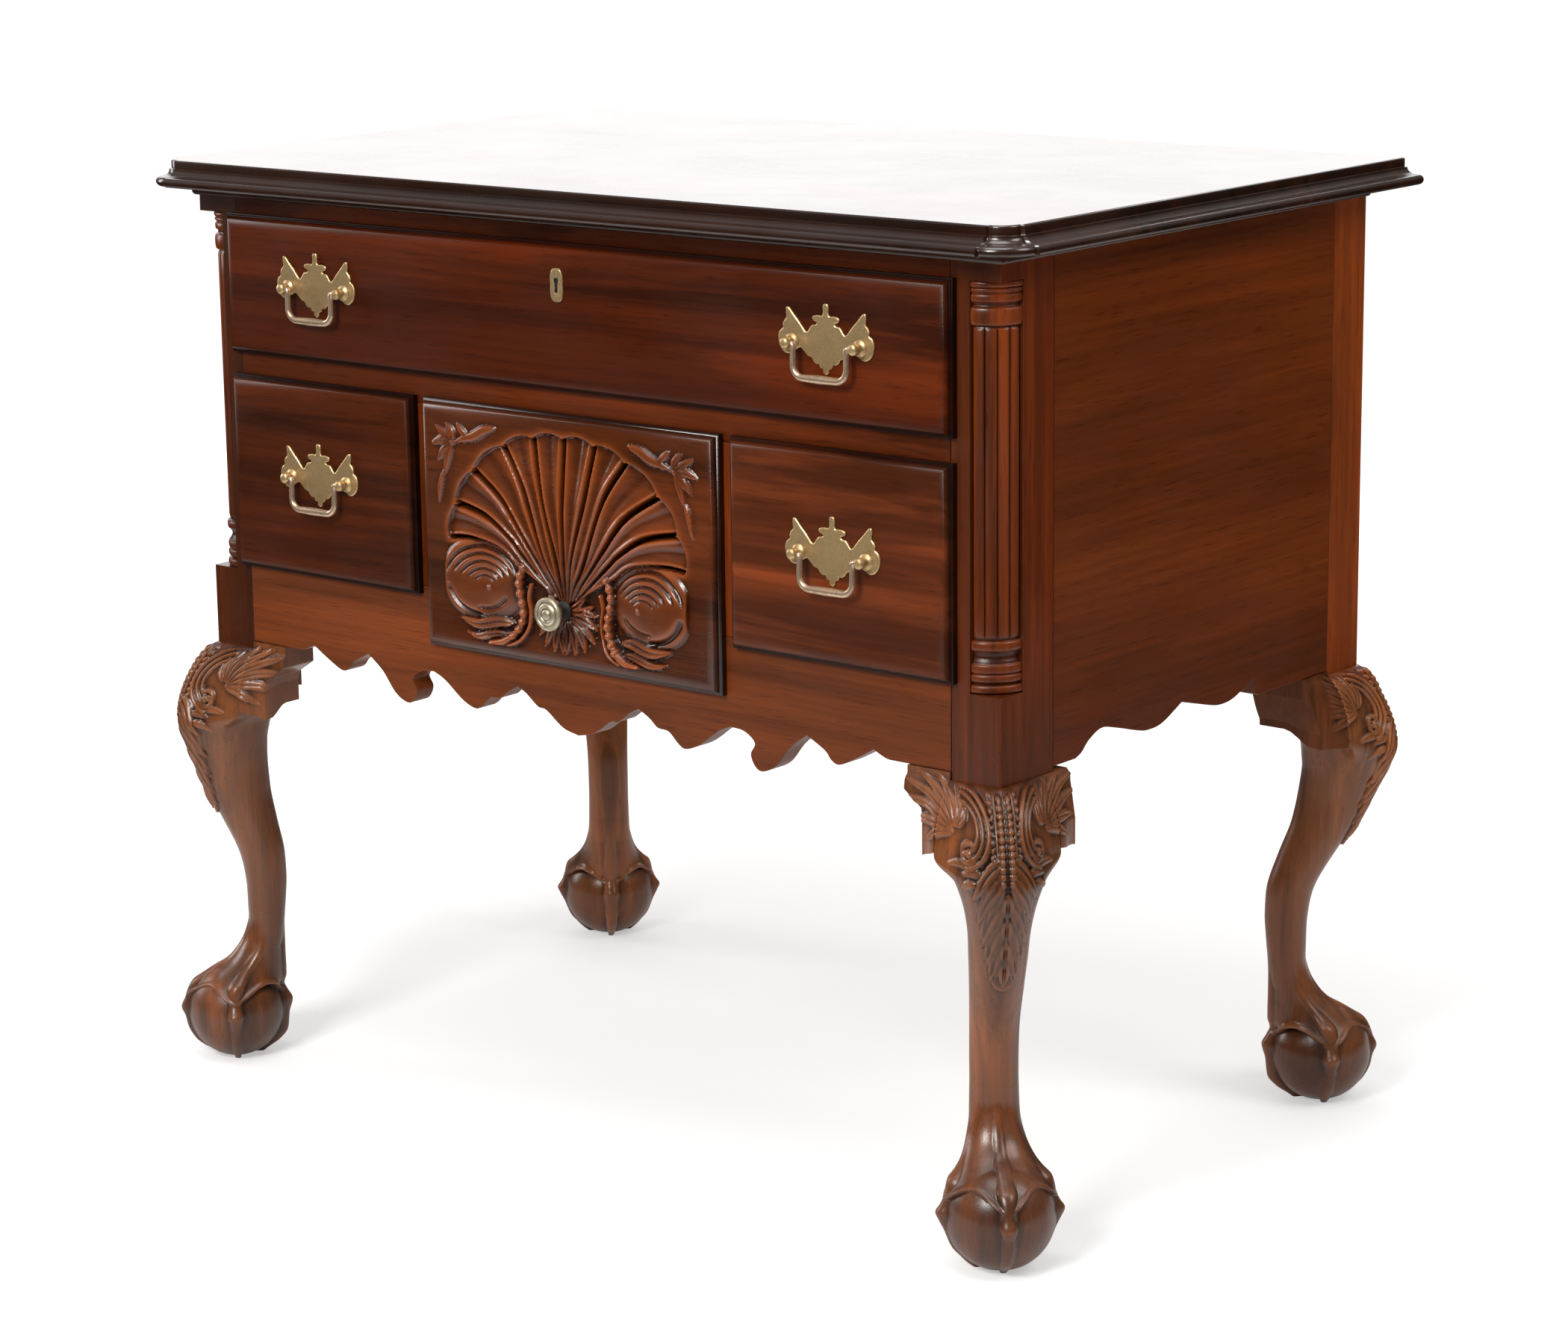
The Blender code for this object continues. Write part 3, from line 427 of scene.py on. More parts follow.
def tube_faces(rings, n, first=0, caps=True, closed=True):
    """Quads between successive rings of n points."""
    faces = []
    for i in range(rings - 1):
        a, b = first + i * n, first + (i + 1) * n
        for j in range(n if closed else n - 1):
            k = (j + 1) % n
            faces.append((a + j, a + k, b + k, b + j))
    if caps:
        faces.append(tuple(first + j for j in reversed(range(n))))
        faces.append(tuple(first + (rings - 1) * n + j for j in range(n)))
    return faces


def prism(outline, axis, ends):
    """Outline in the two other axes, in XYZ order, drawn out between two places on the axis."""
    verts = []
    for end in ends:
        for a, b in outline:
            verts.append({"X": (end, a, b), "Y": (a, end, b), "Z": (a, b, end)}[axis])
    return verts, tube_faces(2, len(outline))


def dress(node, mat, bevel=0.0):
    """A CAD node that stays as it is, with its own finish and eased edges."""
    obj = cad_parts[node]
    if not obj.material_slots:
        obj.data.materials.append(mat)
    for s in obj.material_slots:
        s.material = mat
    if bevel:
        weld = obj.modifiers.new("weld", "WELD")
        weld.merge_threshold = 0.00002
        mod = obj.modifiers.new("arris", "BEVEL")
        mod.width, mod.segments = bevel, 2
        mod.limit_method, mod.angle_limit = "ANGLE", math.radians(40)


# ------------------------------------------------------------------ top board and bed moulding
def top_ring(inset, z, n=20):
    half = HALF + TOP_OVER_SIDE
    front, back = FRONT_Y - TOP_OVER_SIDE, FRONT_Y + CASE_D + TOP_OVER_BACK
    reach = CORNER_R - inset
    right = [(half - CORNER_CENTRE - 0.0008, front + inset)]
    for i in range(n + 1):
        t = math.pi / 2 * i / n
        right.append((half - CORNER_CENTRE + reach * math.sin(t), front + CORNER_CENTRE - reach * math.cos(t)))
    right.append((half - inset, front + CORNER_CENTRE + 0.0008))
    right.append((half - inset, back - inset * 0.5))
    ring = right + [(-x, y) for x, y in reversed(right)]
    return [(x, y, z) for x, y in ring]


def top_board():
    profile = [(0.7466, 0.0085), (0.7466, 0.0045)]
    for i in range(13):
        t = math.radians(-90 + 180 * i / 12)
        profile.append((0.7507 + 0.0040 * math.sin(t), 0.0040 - 0.0040 * math.cos(t)))
    profile.append((0.7549, 0.0048))
    for i in range(1, 11):
        t = math.pi / 2 * i / 10
        profile.append((0.7550 + 0.0056 * (1 - math.cos(t)), 0.0048 + 0.0067 * math.sin(t)))
    profile += [(0.7607, 0.0128), (0.7611, 0.0133), (0.7664, 0.0133)]
    for i in range(1, 6):
        t = math.pi / 2 * i / 5
        profile.append((0.7664 + 0.0016 * math.sin(t), 0.0133 + 0.0022 * (1 - math.cos(t))))
    rings = [top_ring(inset, z) for z, inset in profile]
    n = len(rings[0])
    verts = [p for ring in rings for p in ring]
    faces = tube_faces(len(rings), n)
    # every face but the flat top takes the darker edge copy as painted shade; the flat top takes the top's own finish
    flat = [0] * (len(faces) - 1) + [1]
    make("moulded_top_board", verts, faces, [M["shaded_top_edge"], M["top"]], "case", ["top_board"], sharp=42, face_mats=flat)


def bed_moulding():
    z0, z1 = POST_TOP - BED_H, POST_TOP
    profile = [(GAP, z0), (0.0010, z0)]
    for i in range(1, 12):
        t = math.pi * i / 12
        profile.append((0.0010 + (BED_OUT - 0.0010) * math.sin(t) ** 0.8, z0 + (z1 - z0) * (1 - math.cos(t)) / 2))
    profile += [(0.0010, z1), (GAP, z1)]
    back = FRONT_Y + CASE_D
    rings = []
    for place in range(4):
        ring = []
        for o, z in profile:
            x, y = ((-HALF - o, back), (-HALF - o, FRONT_Y - o), (HALF + o, FRONT_Y - o), (HALF + o, back))[place]
            ring.append((x, y, z))
        rings.append(ring)
    verts = [p for ring in rings for p in ring]
    make("bead_under_top", verts, tube_faces(4, len(profile)), M["mould"], "case", ["bed_moulding"], sharp=50)


# ------------------------------------------------------------------ legs
N, OUTER, QUART = 240, 80, 120
INDEX = np.arange(N)
SIGNED = np.where(INDEX <= QUART, INDEX, INDEX - N)
MAGN = np.abs(SIGNED)
SIGN = np.where(SIGNED < 0, -1.0, 1.0)
THETA = np.radians(np.where(MAGN <= OUTER, 90.0 * MAGN / OUTER, 90.0 + 90.0 * (MAGN - OUTER) / (QUART - OUTER))) * SIGN

mm = lambda *pairs: pchip([(z, v) for z, v in pairs])
SHAFT_OUT = mm((95, -13), (118, -15.6), (145, -15.3), (160, -13.9), (174, -11.2), (184, -8.0), (195, -3.2), (210, 3.8), (234, 14.2), (258, 23.2), (280, 31.0), (298, 35.5), (314, 34.0))
SHAFT_IN = mm((95, -45.0), (110, -45.9), (124, -46.9), (140, -48.4), (155, -49.4), (175, -48.8), (205, -43.6), (236, -38.7), (262, -37.4), (278, -38), (290, -40.3), (302, -43), (316, -47))
SHAFT_HALF = mm((95, 19.6), (110, 18.9), (140, 18.2), (170, 18.4), (210, 20.2), (235, 21.8), (252, 22.8), (266, 24.8), (276, 27), (285, 29.8), (292.5, 32.6), (299, 35.4), (306, 40), (315, 46))
SHAFT_POWER = mm((95, 2.0), (130, 1.85), (180, 1.78), (230, 1.72), (280, 1.66), (315, 1.6))
KNEE_OUT = mm((292, 35.0), (298, 35.5), (306, 35.3), (314, 34.0), (323, 31.0), (332, 27.0), (340, 22.6), (346, 18.8), (353, 12.8), (358, 7.5), (362, 1.2))
KNEE_PROUD = mm((290, 22), (302, 21.6), (314, 21.0), (323, 19.4), (332, 17.0), (340, 14.2), (346, 11.6), (352, 8.4), (357, 4.8), (362, 1.0))
KNEE_ROUND = mm((290, 12), (314, 11), (332, 10), (350, 8), (362, 3))
KNEE_INNER = mm((290, -41), (314, -46), (332, -51), (348, -54), (362, -57))

FRONT_TALON = mm((0, 17), (3, 21.5), (8, 30.0), (13, 35.8), (25, 42.4), (34, 44.4), (42, 47.4), (50, 44.2), (58, 41.4), (66, 36.5), (72, 27.5), (78, 18), (85, 6.0), (95, -2.8), (105, -8.6), (118, -13.0), (130, -17))
SIDE_TALON = mm((0, 20), (3, 24), (9, 30), (16, 36), (30, 42), (38, 46), (43, 48.0), (49, 44.5), (56, 41.4), (62, 40.4), (68, 38.5), (74, 32.6), (81, 27.2), (90, 23.0), (103, 19.4), (118, 16.5), (130, 14))
BACK_TALON = mm((0, 22), (3, 26), (10, 36), (19, 43), (34, 45), (46, 48), (54, 44), (60, 41.5), (68, 43.5), (75, 43.6), (90, 43.4), (105, 43.4), (118, 43), (130, 42))
TALON_W = mm((0, 2.6), (3, 3.2), (10, 4.4), (20, 5.2), (31, 5.8), (35, 5.8), (42, 7.2), (50, 6.4), (58, 6.7), (66, 7.6), (75, 6.9), (90, 5.9), (105, 5.0), (130, 4.0))
FOOT_AXIS = mm((0, -2.5), (56, -2.5), (66, -4.2), (75, -9.5), (85, -18), (95, -25), (105, -28.5), (118, -30.95), (130, -31.5))
WEB_A = mm((52, 41.0), (56, 39.4), (60, 36.8), (66, 31.5), (72, 26.5), (78, 22.5), (85, 19.5), (95, 18.0), (105, 16.5), (118, 15.35), (130, 15.95))
WEB_B = mm((52, 41.0), (56, 39.6), (60, 37.8), (66, 34.0), (72, 30.2), (78, 27.0), (85, 23.8), (95, 20.8), (105, 19.1), (118, 18.6), (130, 18.3))
BALL_R, BALL_Z, BALL_D = 41.0, 39.5, -2.5


def smax(a, b, k=1.0):
    h = np.clip(k - np.abs(a - b), 0, None) / k
    return np.maximum(a, b) + h * h * k / 4


def foot_radius(z):
    """Radius of the claw foot all round at one height, about the foot's own axis."""
    th, axis = THETA, float(FOOT_AXIS(z))
    c, s = np.cos(th), np.sin(th)
    r = np.full(N, 6.0)
    gone = BALL_R**2 - (z - BALL_Z) ** 2
    if gone > 0:
        e = BALL_D - axis
        under = gone - (e * s) ** 2
        ball = np.where(under > 0, e * c + np.sqrt(np.clip(under, 0, None)), 0)
        r = np.maximum(r, ball)
    a, b = float(WEB_A(z)), float(WEB_B(z))
    power = float(SHAFT_POWER(z))
    rear = a + max(0.0, axis - BALL_D + float(BACK_TALON(z)) - 3.0 - a) * float(smooth01((z - 56.0) / 9.0))
    span = np.where(c >= 0, a, rear)
    web = (np.abs(c / span) ** power + np.abs(s / b) ** power) ** (-1 / power)
    edge = 52.0 + 14.0 * np.abs(np.sin(2 * th)) ** 1.3
    lip = 1.9 * np.exp(-(((z - edge - 2.0) / 2.1) ** 2))
    r = np.where(z >= edge, smax(web + lip, r, 0.5), r)
    w = float(TALON_W(z))
    for at, reach in (
        (0.0, BALL_D + float(FRONT_TALON(z)) - axis),
        (90.0, float(SIDE_TALON(z))),
        (-90.0, float(SIDE_TALON(z))),
        (180.0, axis - BALL_D + float(BACK_TALON(z))),
    ):
        d = th - math.radians(at)
        centre = reach - w
        if centre <= 0:
            continue
        under = w * w - (centre * np.sin(d)) ** 2
        hit = (under > 0) & (np.cos(d) > 0)
        talon = np.where(hit, centre * np.cos(d) + np.sqrt(np.clip(under, 0, None)), 0)
        r = smax(r, talon, 1.1)
    return r


DIAG, ACROSS = np.array([1.0, 1.0]) / math.sqrt(2), np.array([-1.0, 1.0]) / math.sqrt(2)


def shaft_ring(z, shift):
    """One ring of the shank or foot in millimetres out from the case corner."""
    if z <= 124:
        axis, r = float(FOOT_AXIS(z)), foot_radius(z)
    else:
        out, back, half, power = float(SHAFT_OUT(z)), float(SHAFT_IN(z)), float(SHAFT_HALF(z)), float(SHAFT_POWER(z))
        axis, a = (out + back) / 2, (out - back) / 2
        r = (np.abs(np.cos(THETA) / a) ** power + np.abs(np.sin(THETA) / half) ** power) ** (-1 / power)
    d, b = axis - shift + r * np.cos(THETA), r * np.sin(THETA)
    return d[:, None] * DIAG + b[:, None] * ACROSS


def polyline(stops, count):
    at = np.array([s[0] for s in stops], float)
    pts = np.array([s[1] for s in stops], float)
    k = np.arange(count + 1)
    return np.stack([np.interp(k, at, pts[:, 0]), np.interp(k, at, pts[:, 1])], 1)


def two_sides(front_half, side_half):
    """Ring from its front and side halves, both running from the outer ridge to the inner corner."""
    return np.array([front_half[k] if k >= 0 else side_half[-k] for k in SIGNED])


def knee_ring(z, jx, jy, less=0.0):
    out, proud, soft, inner = float(KNEE_OUT(z)), float(KNEE_PROUD(z)), float(KNEE_ROUND(z)), float(KNEE_INNER(z))
    out -= less
    halves = []
    for near, flip in ((jx, False), (jy, True)):
        dj, bj = (proud - near) / math.sqrt(2), (proud + near) / math.sqrt(2)
        b = bj * np.arange(OUTER + 1) / OUTER
        m = (out - dj) / (math.hypot(bj, soft) - soft)
        d = out - m * (np.hypot(b, soft) - soft)
        face = d[:, None] * DIAG + b[:, None] * ACROSS
        corner = np.array([inner, inner]) / math.sqrt(2)
        t = np.linspace(0, 1, QUART - OUTER + 1)[1:, None]
        ctrl = np.array([-near, min(-near * 0.62, proud - 1)])
        rest = (1 - t) ** 2 * face[-1] + 2 * t * (1 - t) * ctrl + t * t * corner
        half = np.vstack([face, rest])
        halves.append(half[:, ::-1] if flip else half)
    return two_sides(*halves)


def knee_strokes(r):
    """The knee's carving: s from the ridge, z up, both mirrored about the ridge."""
    # leaf that runs down the shank and stops short, standing proud
    edge = pchip([(214.0, 2.0), (216, 5.5), (221, 8.5), (232, 11.5), (246, 15), (262, 20), (280, 26), (296, 32), (308, 37)])
    width = edge(r.z)
    inside = (r.x < width) & (r.z > 214.0) & (r.z < 312)
    lift = np.interp(r.z, [214, 222, 250, 290, 312], [2.7, 2.2, 1.5, 0.9, 0.0])
    r.ground = np.where(inside, lift * np.clip((width - r.x) / 1.2, 0, 1) ** 0.5, 0)
    for z in np.arange(301.0, 361.0, 5.0):
        r.boss(3.4, z, 2.7, 2.2)
        if z > 312:
            r.boss(11.2, z + 2.5, 2.2, 1.8)
    r.ridge([(7.3, 361), (7.2, 340), (6.9, 318), (6.4, 300)], 1.2, 1.5)
    for radius, w, h in ((28.0, 2.1, 2.5), (22.6, 1.8, 2.2), (17.4, 1.7, 2.0)):
        r.ridge(arc(41, 334, radius, 100, 256, 30), w, h)
    r.cut(arc(41, 334, 30.6, 100, 250, 30), 0.9, 0.9)
    r.ridge(arc(33, 318, 7.0, 190, 480, 26), 2.0, 2.2)
    r.boss(33, 318, 3.6, 3.0)
    for a, length, w in ((112, 24, 3.4), (92, 30, 4.0), (70, 38, 4.6), (50, 46, 4.8), (32, 54, 4.8), (15, 58, 4.6), (-2, 56, 4.2), (-18, 44, 3.6)):
        t = math.radians(a)
        tip = (43 + length * math.cos(t), 331 + length * math.sin(t))
        mid = (43 + 0.5 * length * math.cos(t + 0.14), 331 + 0.5 * length * math.sin(t + 0.14))
        r.ridge([(45 + 3 * math.cos(t), 331 + 3 * math.sin(t)), mid, tip], w, 2.3, "leaf", vein=0.55)
    for x, z, b in ((3, 318, (14.5, 306, 28, 284)), (3, 305, (12.5, 291, 23.5, 265)), (2.5, 289, (10.5, 275, 18.5, 247)), (2, 272, (8, 258, 13.5, 232)), (2, 255, (5.5, 243, 9, 221))):
        k = 1.0 if z > 280 else 0.85 if z > 260 else 0.7
        r.ridge([(x, z), (b[0], b[1]), (b[2], b[3])], 6.2 * k, 2.7 * k, "leaf", vein=0.6)
        r.ridge([(x, z - 3), (b[0] * 0.62, b[1] - 5), (b[2] * 0.55, b[3] + 1)], 3.6 * k, 2.0 * k, "leaf", vein=0.4)
        r.cut([(b[0] + 2, b[1] + 6), (b[2] - 1, b[3] + 9), (b[2] + 3, b[3] + 3)], 1.0, 1.0 * k)
    for z, w, l in ((290, 3.6, 17), (271, 3.4, 17), (252, 3.1, 16), (236, 2.8, 18)):
        r.ridge([(0, z + 4), (0.6, z - l * 0.5), (0, z - l)], w, 2.7, "leaf", vein=0.5)
    for x0, z0, x1, z1 in ((20, 305, 40, 303), (24, 298, 44, 291), (30, 309, 56, 308)):
        r.ridge([(x0, z0), ((x0 + x1) / 2, (z0 + z1) / 2 + 1.5), (x1, z1)], 3.4, 1.9, "leaf", vein=0.4)
    r.cut([(1.2, 361), (1.2, 300), (0.9, 232)], 0.8, 0.7, fade=False)


def knee_relief(s, z):
    r = Relief(np.abs(s), z)
    knee_strokes(r)
    keep = smooth01((361.4 - r.z) / 4.0) * smooth01((r.z - 212) / 1.5)
    return (r.total() * keep).reshape(np.shape(s))


LEG_Z = np.concatenate(
    [
        np.arange(0.0, 112.0, 0.9),
        np.arange(112.0, 208.0, 3.0),
        np.arange(208.0, 222.0, 0.8),
        np.arange(222.0, 300.0, 1.1),
        np.arange(300.0, 361.6, 0.95),
        [361.7],
    ]
)


def base_rings(front):
    jx, jy = 44.1, 44.6 if front else 45.7
    rings = []
    for z in LEG_Z:
        less = 0.0 if front else 4.5 * float(smooth01((z - 225.0) / 45.0) * smooth01((361.0 - z) / 26.0))
        shift = 0.0 if front else 22.5 * float(smooth01((305.0 - z) / 125.0 * 0.92))
        w = float(smooth01((z - 293.0) / 18.0 if front else (z - 285.0) / 32.0))
        ring = shaft_ring(min(z, 314.0), shift + 0.7 * less) if w < 1 else 0.0
        if w > 0:
            ring = (1 - w) * ring + w * knee_ring(z, jx, jy, less)
        rings.append(ring)
    return np.array(rings)


def arc_from_ridge(rings):
    """Length along each ring from its outer ridge, signed."""
    step = np.linalg.norm(np.diff(np.concatenate([rings, rings[:, :1]], 1), axis=1), axis=2)
    s = np.zeros(rings.shape[:2])
    s[:, 1 : QUART + 1] = np.cumsum(step[:, :QUART], 1)
    s[:, QUART + 1 :] = -np.cumsum(step[:, ::-1], 1)[:, : N - QUART - 1][:, ::-1]
    return s


def carved_rings(front):
    rings = base_rings(front)
    s = arc_from_ridge(rings)
    zz = np.repeat(LEG_Z[:, None], N, 1)
    p = np.dstack([rings, zz])
    du = np.roll(p, -1, 1) - np.roll(p, 1, 1)
    dv = np.gradient(p, axis=0)
    normal = np.cross(du, dv)
    normal /= np.linalg.norm(normal, axis=2)[..., None] + 1e-9
    outward = np.einsum("ijk,ijk->ij", normal[:, :, :2], rings - rings.mean(1, keepdims=True))
    normal *= np.where(outward < 0, -1, 1)[..., None]
    h = np.zeros_like(s)
    rows = LEG_Z > 211
    cols = MAGN <= OUTER
    h[np.ix_(rows, cols)] = knee_relief(s[np.ix_(rows, cols)], zz[np.ix_(rows, cols)])
    last = smooth01((OUTER + 0.5 - MAGN) / 3.0)
    fade = np.where(zz > 313.0, 1.0, last[None, :])
    h *= fade
    # painted shade in the knee carving's hollows and painted highlight on its raised strokes, as cavity values
    cav = cavity(h, 0.95, wrap=True)
    radius = np.linalg.norm(rings - rings.mean(1, keepdims=True), axis=2)
    # on the claw foot the same painted shade falls between the talons and under the web, painted highlight on talons
    # and ball
    foot = LEG_Z < 120
    cav[foot] = cavity(radius[foot], 2.6, reach=4, wrap=True)
    joint = np.array([s[i, OUTER] for i in range(len(LEG_Z))])
    return p + normal * h[..., None], cav, joint


CARVED = {True: carved_rings(True), False: carved_rings(False)}


def post_ring(depth, notched):
    w, d, r, e = POST_W * 1000, depth * 1000, RECESS * 1000, 0.9
    first = (-r, -r) if notched else (-0.28, -0.28)
    front = [(0, first), (3, (-r, -r + 2) if notched else (-e, 0)), (40, (-r, 0)), (78, (-w + e, 0)), (80, (-w, -e)), (QUART, (-w, -d))]
    side = [(0, first), (3, (-r + 2, -r) if notched else (0, -e)), (40, (0, -r)), (78, (0, -d + e)), (80, (-e, -d)), (QUART, (-w, -d))]
    return two_sides(polyline(front, QUART), polyline(side, QUART))


def leg(name, sx, front):
    p, cav, _ = CARVED[front]
    depth = POST_FRONT_D if front else POST_BACK_D
    levels = [(POST_BOTTOM, False)]
    if front:
        levels += [(RECESS_Z[0], False), (RECESS_Z[0], True), (RECESS_Z[1], True), (RECESS_Z[1], False)]
    levels += [(POST_TOP, False)]
    rings = [p / 1000.0]
    for z, notched in levels:
        ring = post_ring(depth, notched) / 1000.0
        rings.append(np.dstack([ring[None], np.full((1, N, 1), z)]))
    q = np.concatenate(rings, 0)
    sy = -1 if front else 1
    corner = (sx * HALF, FRONT_Y if front else FRONT_Y + CASE_D)
    verts = np.stack([corner[0] + sx * q[..., 0], corner[1] + sy * q[..., 1], q[..., 2]], -1).reshape(-1, 3)
    verts[:, 1] = np.minimum(verts[:, 1], 0.2816)
    # the carving's painted shade and highlight go on as the cavity attribute; the post rings get none
    hollow = np.concatenate([cav, np.zeros((len(levels), N))], 0)
    faces = tube_faces(len(q), N)
    finish, which = M["rear_leg"], None
    if front:
        # the post's outer face takes a lighter, redder copy of the finish than its front: painted light on the side
        # turned away from the key lamp
        outer = (np.abs(verts[:, 0]) > HALF - 0.0012) & (verts[:, 2] > POST_BOTTOM - 1e-5)
        finish, which = [M["leg" if sx < 0 else "right_leg"], M["lit_post_side"]], [int(len(f) == 4 and outer[list(f)].all()) for f in faces]
    make("carved_" + name, verts, faces, finish, "case", [name], sharp=62, cav=hollow, face_mats=which)


# ------------------------------------------------------------------ knee blocks
KNEE_FRONT = ((0.0195, 0.3045), (0.0195, 0.3310), (0.0215, 0.3390), (0.0355, 0.3485), (0.0385, 0.3505), (0.0385, 0.3676))
KNEE_SIDE = ((0.0350, 0.3050), (0.0350, 0.3617))
KNEE_REAR = ((0.0215, 0.3060), (0.0222, 0.3180), (0.0290, 0.3350), (0.0335, 0.3480), (0.0345, 0.3646))


def knee_block(name, place, outline, corner, depth, rise, front):
    """place(u, out) gives X and Y of a point u along from the leg and out from the case face, in metres.
    outline runs up the far edge; corner is the height of the bottom beside the leg;
    rise is how far the underside curves up behind."""
    joint = CARVED[front][2]
    low, top = outline[0][1], outline[-1][1]
    rows = np.linspace(low, top, 72)
    cols = 48
    u_all, out_all = np.zeros((len(rows), cols)), np.zeros((len(rows), cols))
    zz = np.repeat(rows[:, None], cols, 1)
    for i, z in enumerate(rows):
        end = float(np.interp(z, [q[1] for q in outline], [q[0] for q in outline]))
        u_all[i] = end * np.linspace(0, 1, cols)
        bend = (1 - u_all[i] / outline[0][0]).clip(0, 1) ** (1.0 if front else 2.0)
        zz[i] += (corner - low) * bend * (1 - i / (len(rows) - 1)) ** 3
        down = (top - z) / (top - low)
        proud = float(KNEE_PROUD(min(z * 1000, 361.9))) / 1000
        far = min(0.0045 + 0.0045 * max(0.0, min(1.0, (down - 0.15) / 0.5)), proud)
        out_all[i] = proud + (far - proud) * smooth01(u_all[i] / (outline[0][0] + 0.35 * (end - outline[0][0])))
    s = np.interp(zz * 1000, LEG_Z, joint) + u_all * 1000 + 0.3
    r = Relief(s, zz * 1000)
    knee_strokes(r)
    fade = smooth01((top * 1000 - 0.6 - zz * 1000) / 4.0)
    grid_h = r.total().reshape(zz.shape) * fade
    if not front:
        grid_h = grid_h * smooth01((0.0150 - u_all) / 0.0080)
    # painted shade in the block carving's hollows and painted highlight on its raised strokes, as cavity values
    cav = cavity(grid_h, 0.95)
    out = out_all + grid_h / 1000
    verts = [(*place(u_all[i, j], out[i, j]), zz[i, j]) for i in range(len(rows)) for j in range(cols)]
    faces = [
        (i * cols + j, i * cols + j + 1, (i + 1) * cols + j + 1, (i + 1) * cols + j)
        for i in range(len(rows) - 1)
        for j in range(cols - 1)
    ]
    rim = (
        [j for j in range(cols)]
        + [i * cols + cols - 1 for i in range(1, len(rows))]
        + [(len(rows) - 1) * cols + j for j in range(cols - 2, -1, -1)]
        + [i * cols for i in range(len(rows) - 2, 0, -1)]
    )
    n = len(rim)
    loops = [rim]
    for f in (0.20, 0.30, 0.40, 0.50, 0.60, 1.0):
        first = len(verts)
        lift = rise * float(smooth01((f - 0.12) / 0.48))
        for k in rim:
            i, j = divmod(k, cols)
            o = out[i, j] + (-depth - out[i, j]) * f
            verts.append((*place(u_all[i, j], o), zz[i, j] + lift * (1 - i / (len(rows) - 1)) ** 3))
        loops.append([first + k for k in range(n)])
    for one, two in zip(loops, loops[1:]):
        for k in range(n):
            m = (k + 1) % n
            faces.append((one[k], one[m], two[m], two[k]))
    faces.append(tuple(loops[-1]))
    hollow = np.concatenate([cav.ravel(), np.zeros(n * (len(loops) - 1))])
    make("carved_" + name, verts, faces, M["block" if front else "shaded_rear_block"], "case", [name], sharp=55, cav=hollow)


def knee_blocks():
    for side, sx in (("left", -1), ("right", 1)):
        inner = HALF - POST_W - GAP
        knee_block(f"front_{side}_front_knee_block", lambda u, o: (sx * (inner - u), FRONT_Y - o), KNEE_FRONT, 0.3120, KNEE_BACK, 0.0105, True)
        knee_block(
            f"front_{side}_side_knee_block",
            lambda u, o: (sx * (HALF + o), FRONT_Y + KNEE_START + u),
            KNEE_SIDE,
            0.3120,
            0.0160,
            0.0060,
            True,
        )
        knee_block(
            f"back_{side}_side_knee_block",
            lambda u, o: (sx * (HALF + o), FRONT_Y + CASE_D - POST_BACK_D - GAP - u),
            KNEE_REAR,
            0.3060,
            KNEE_BACK_REAR,
            0.0125,
            False,
        )


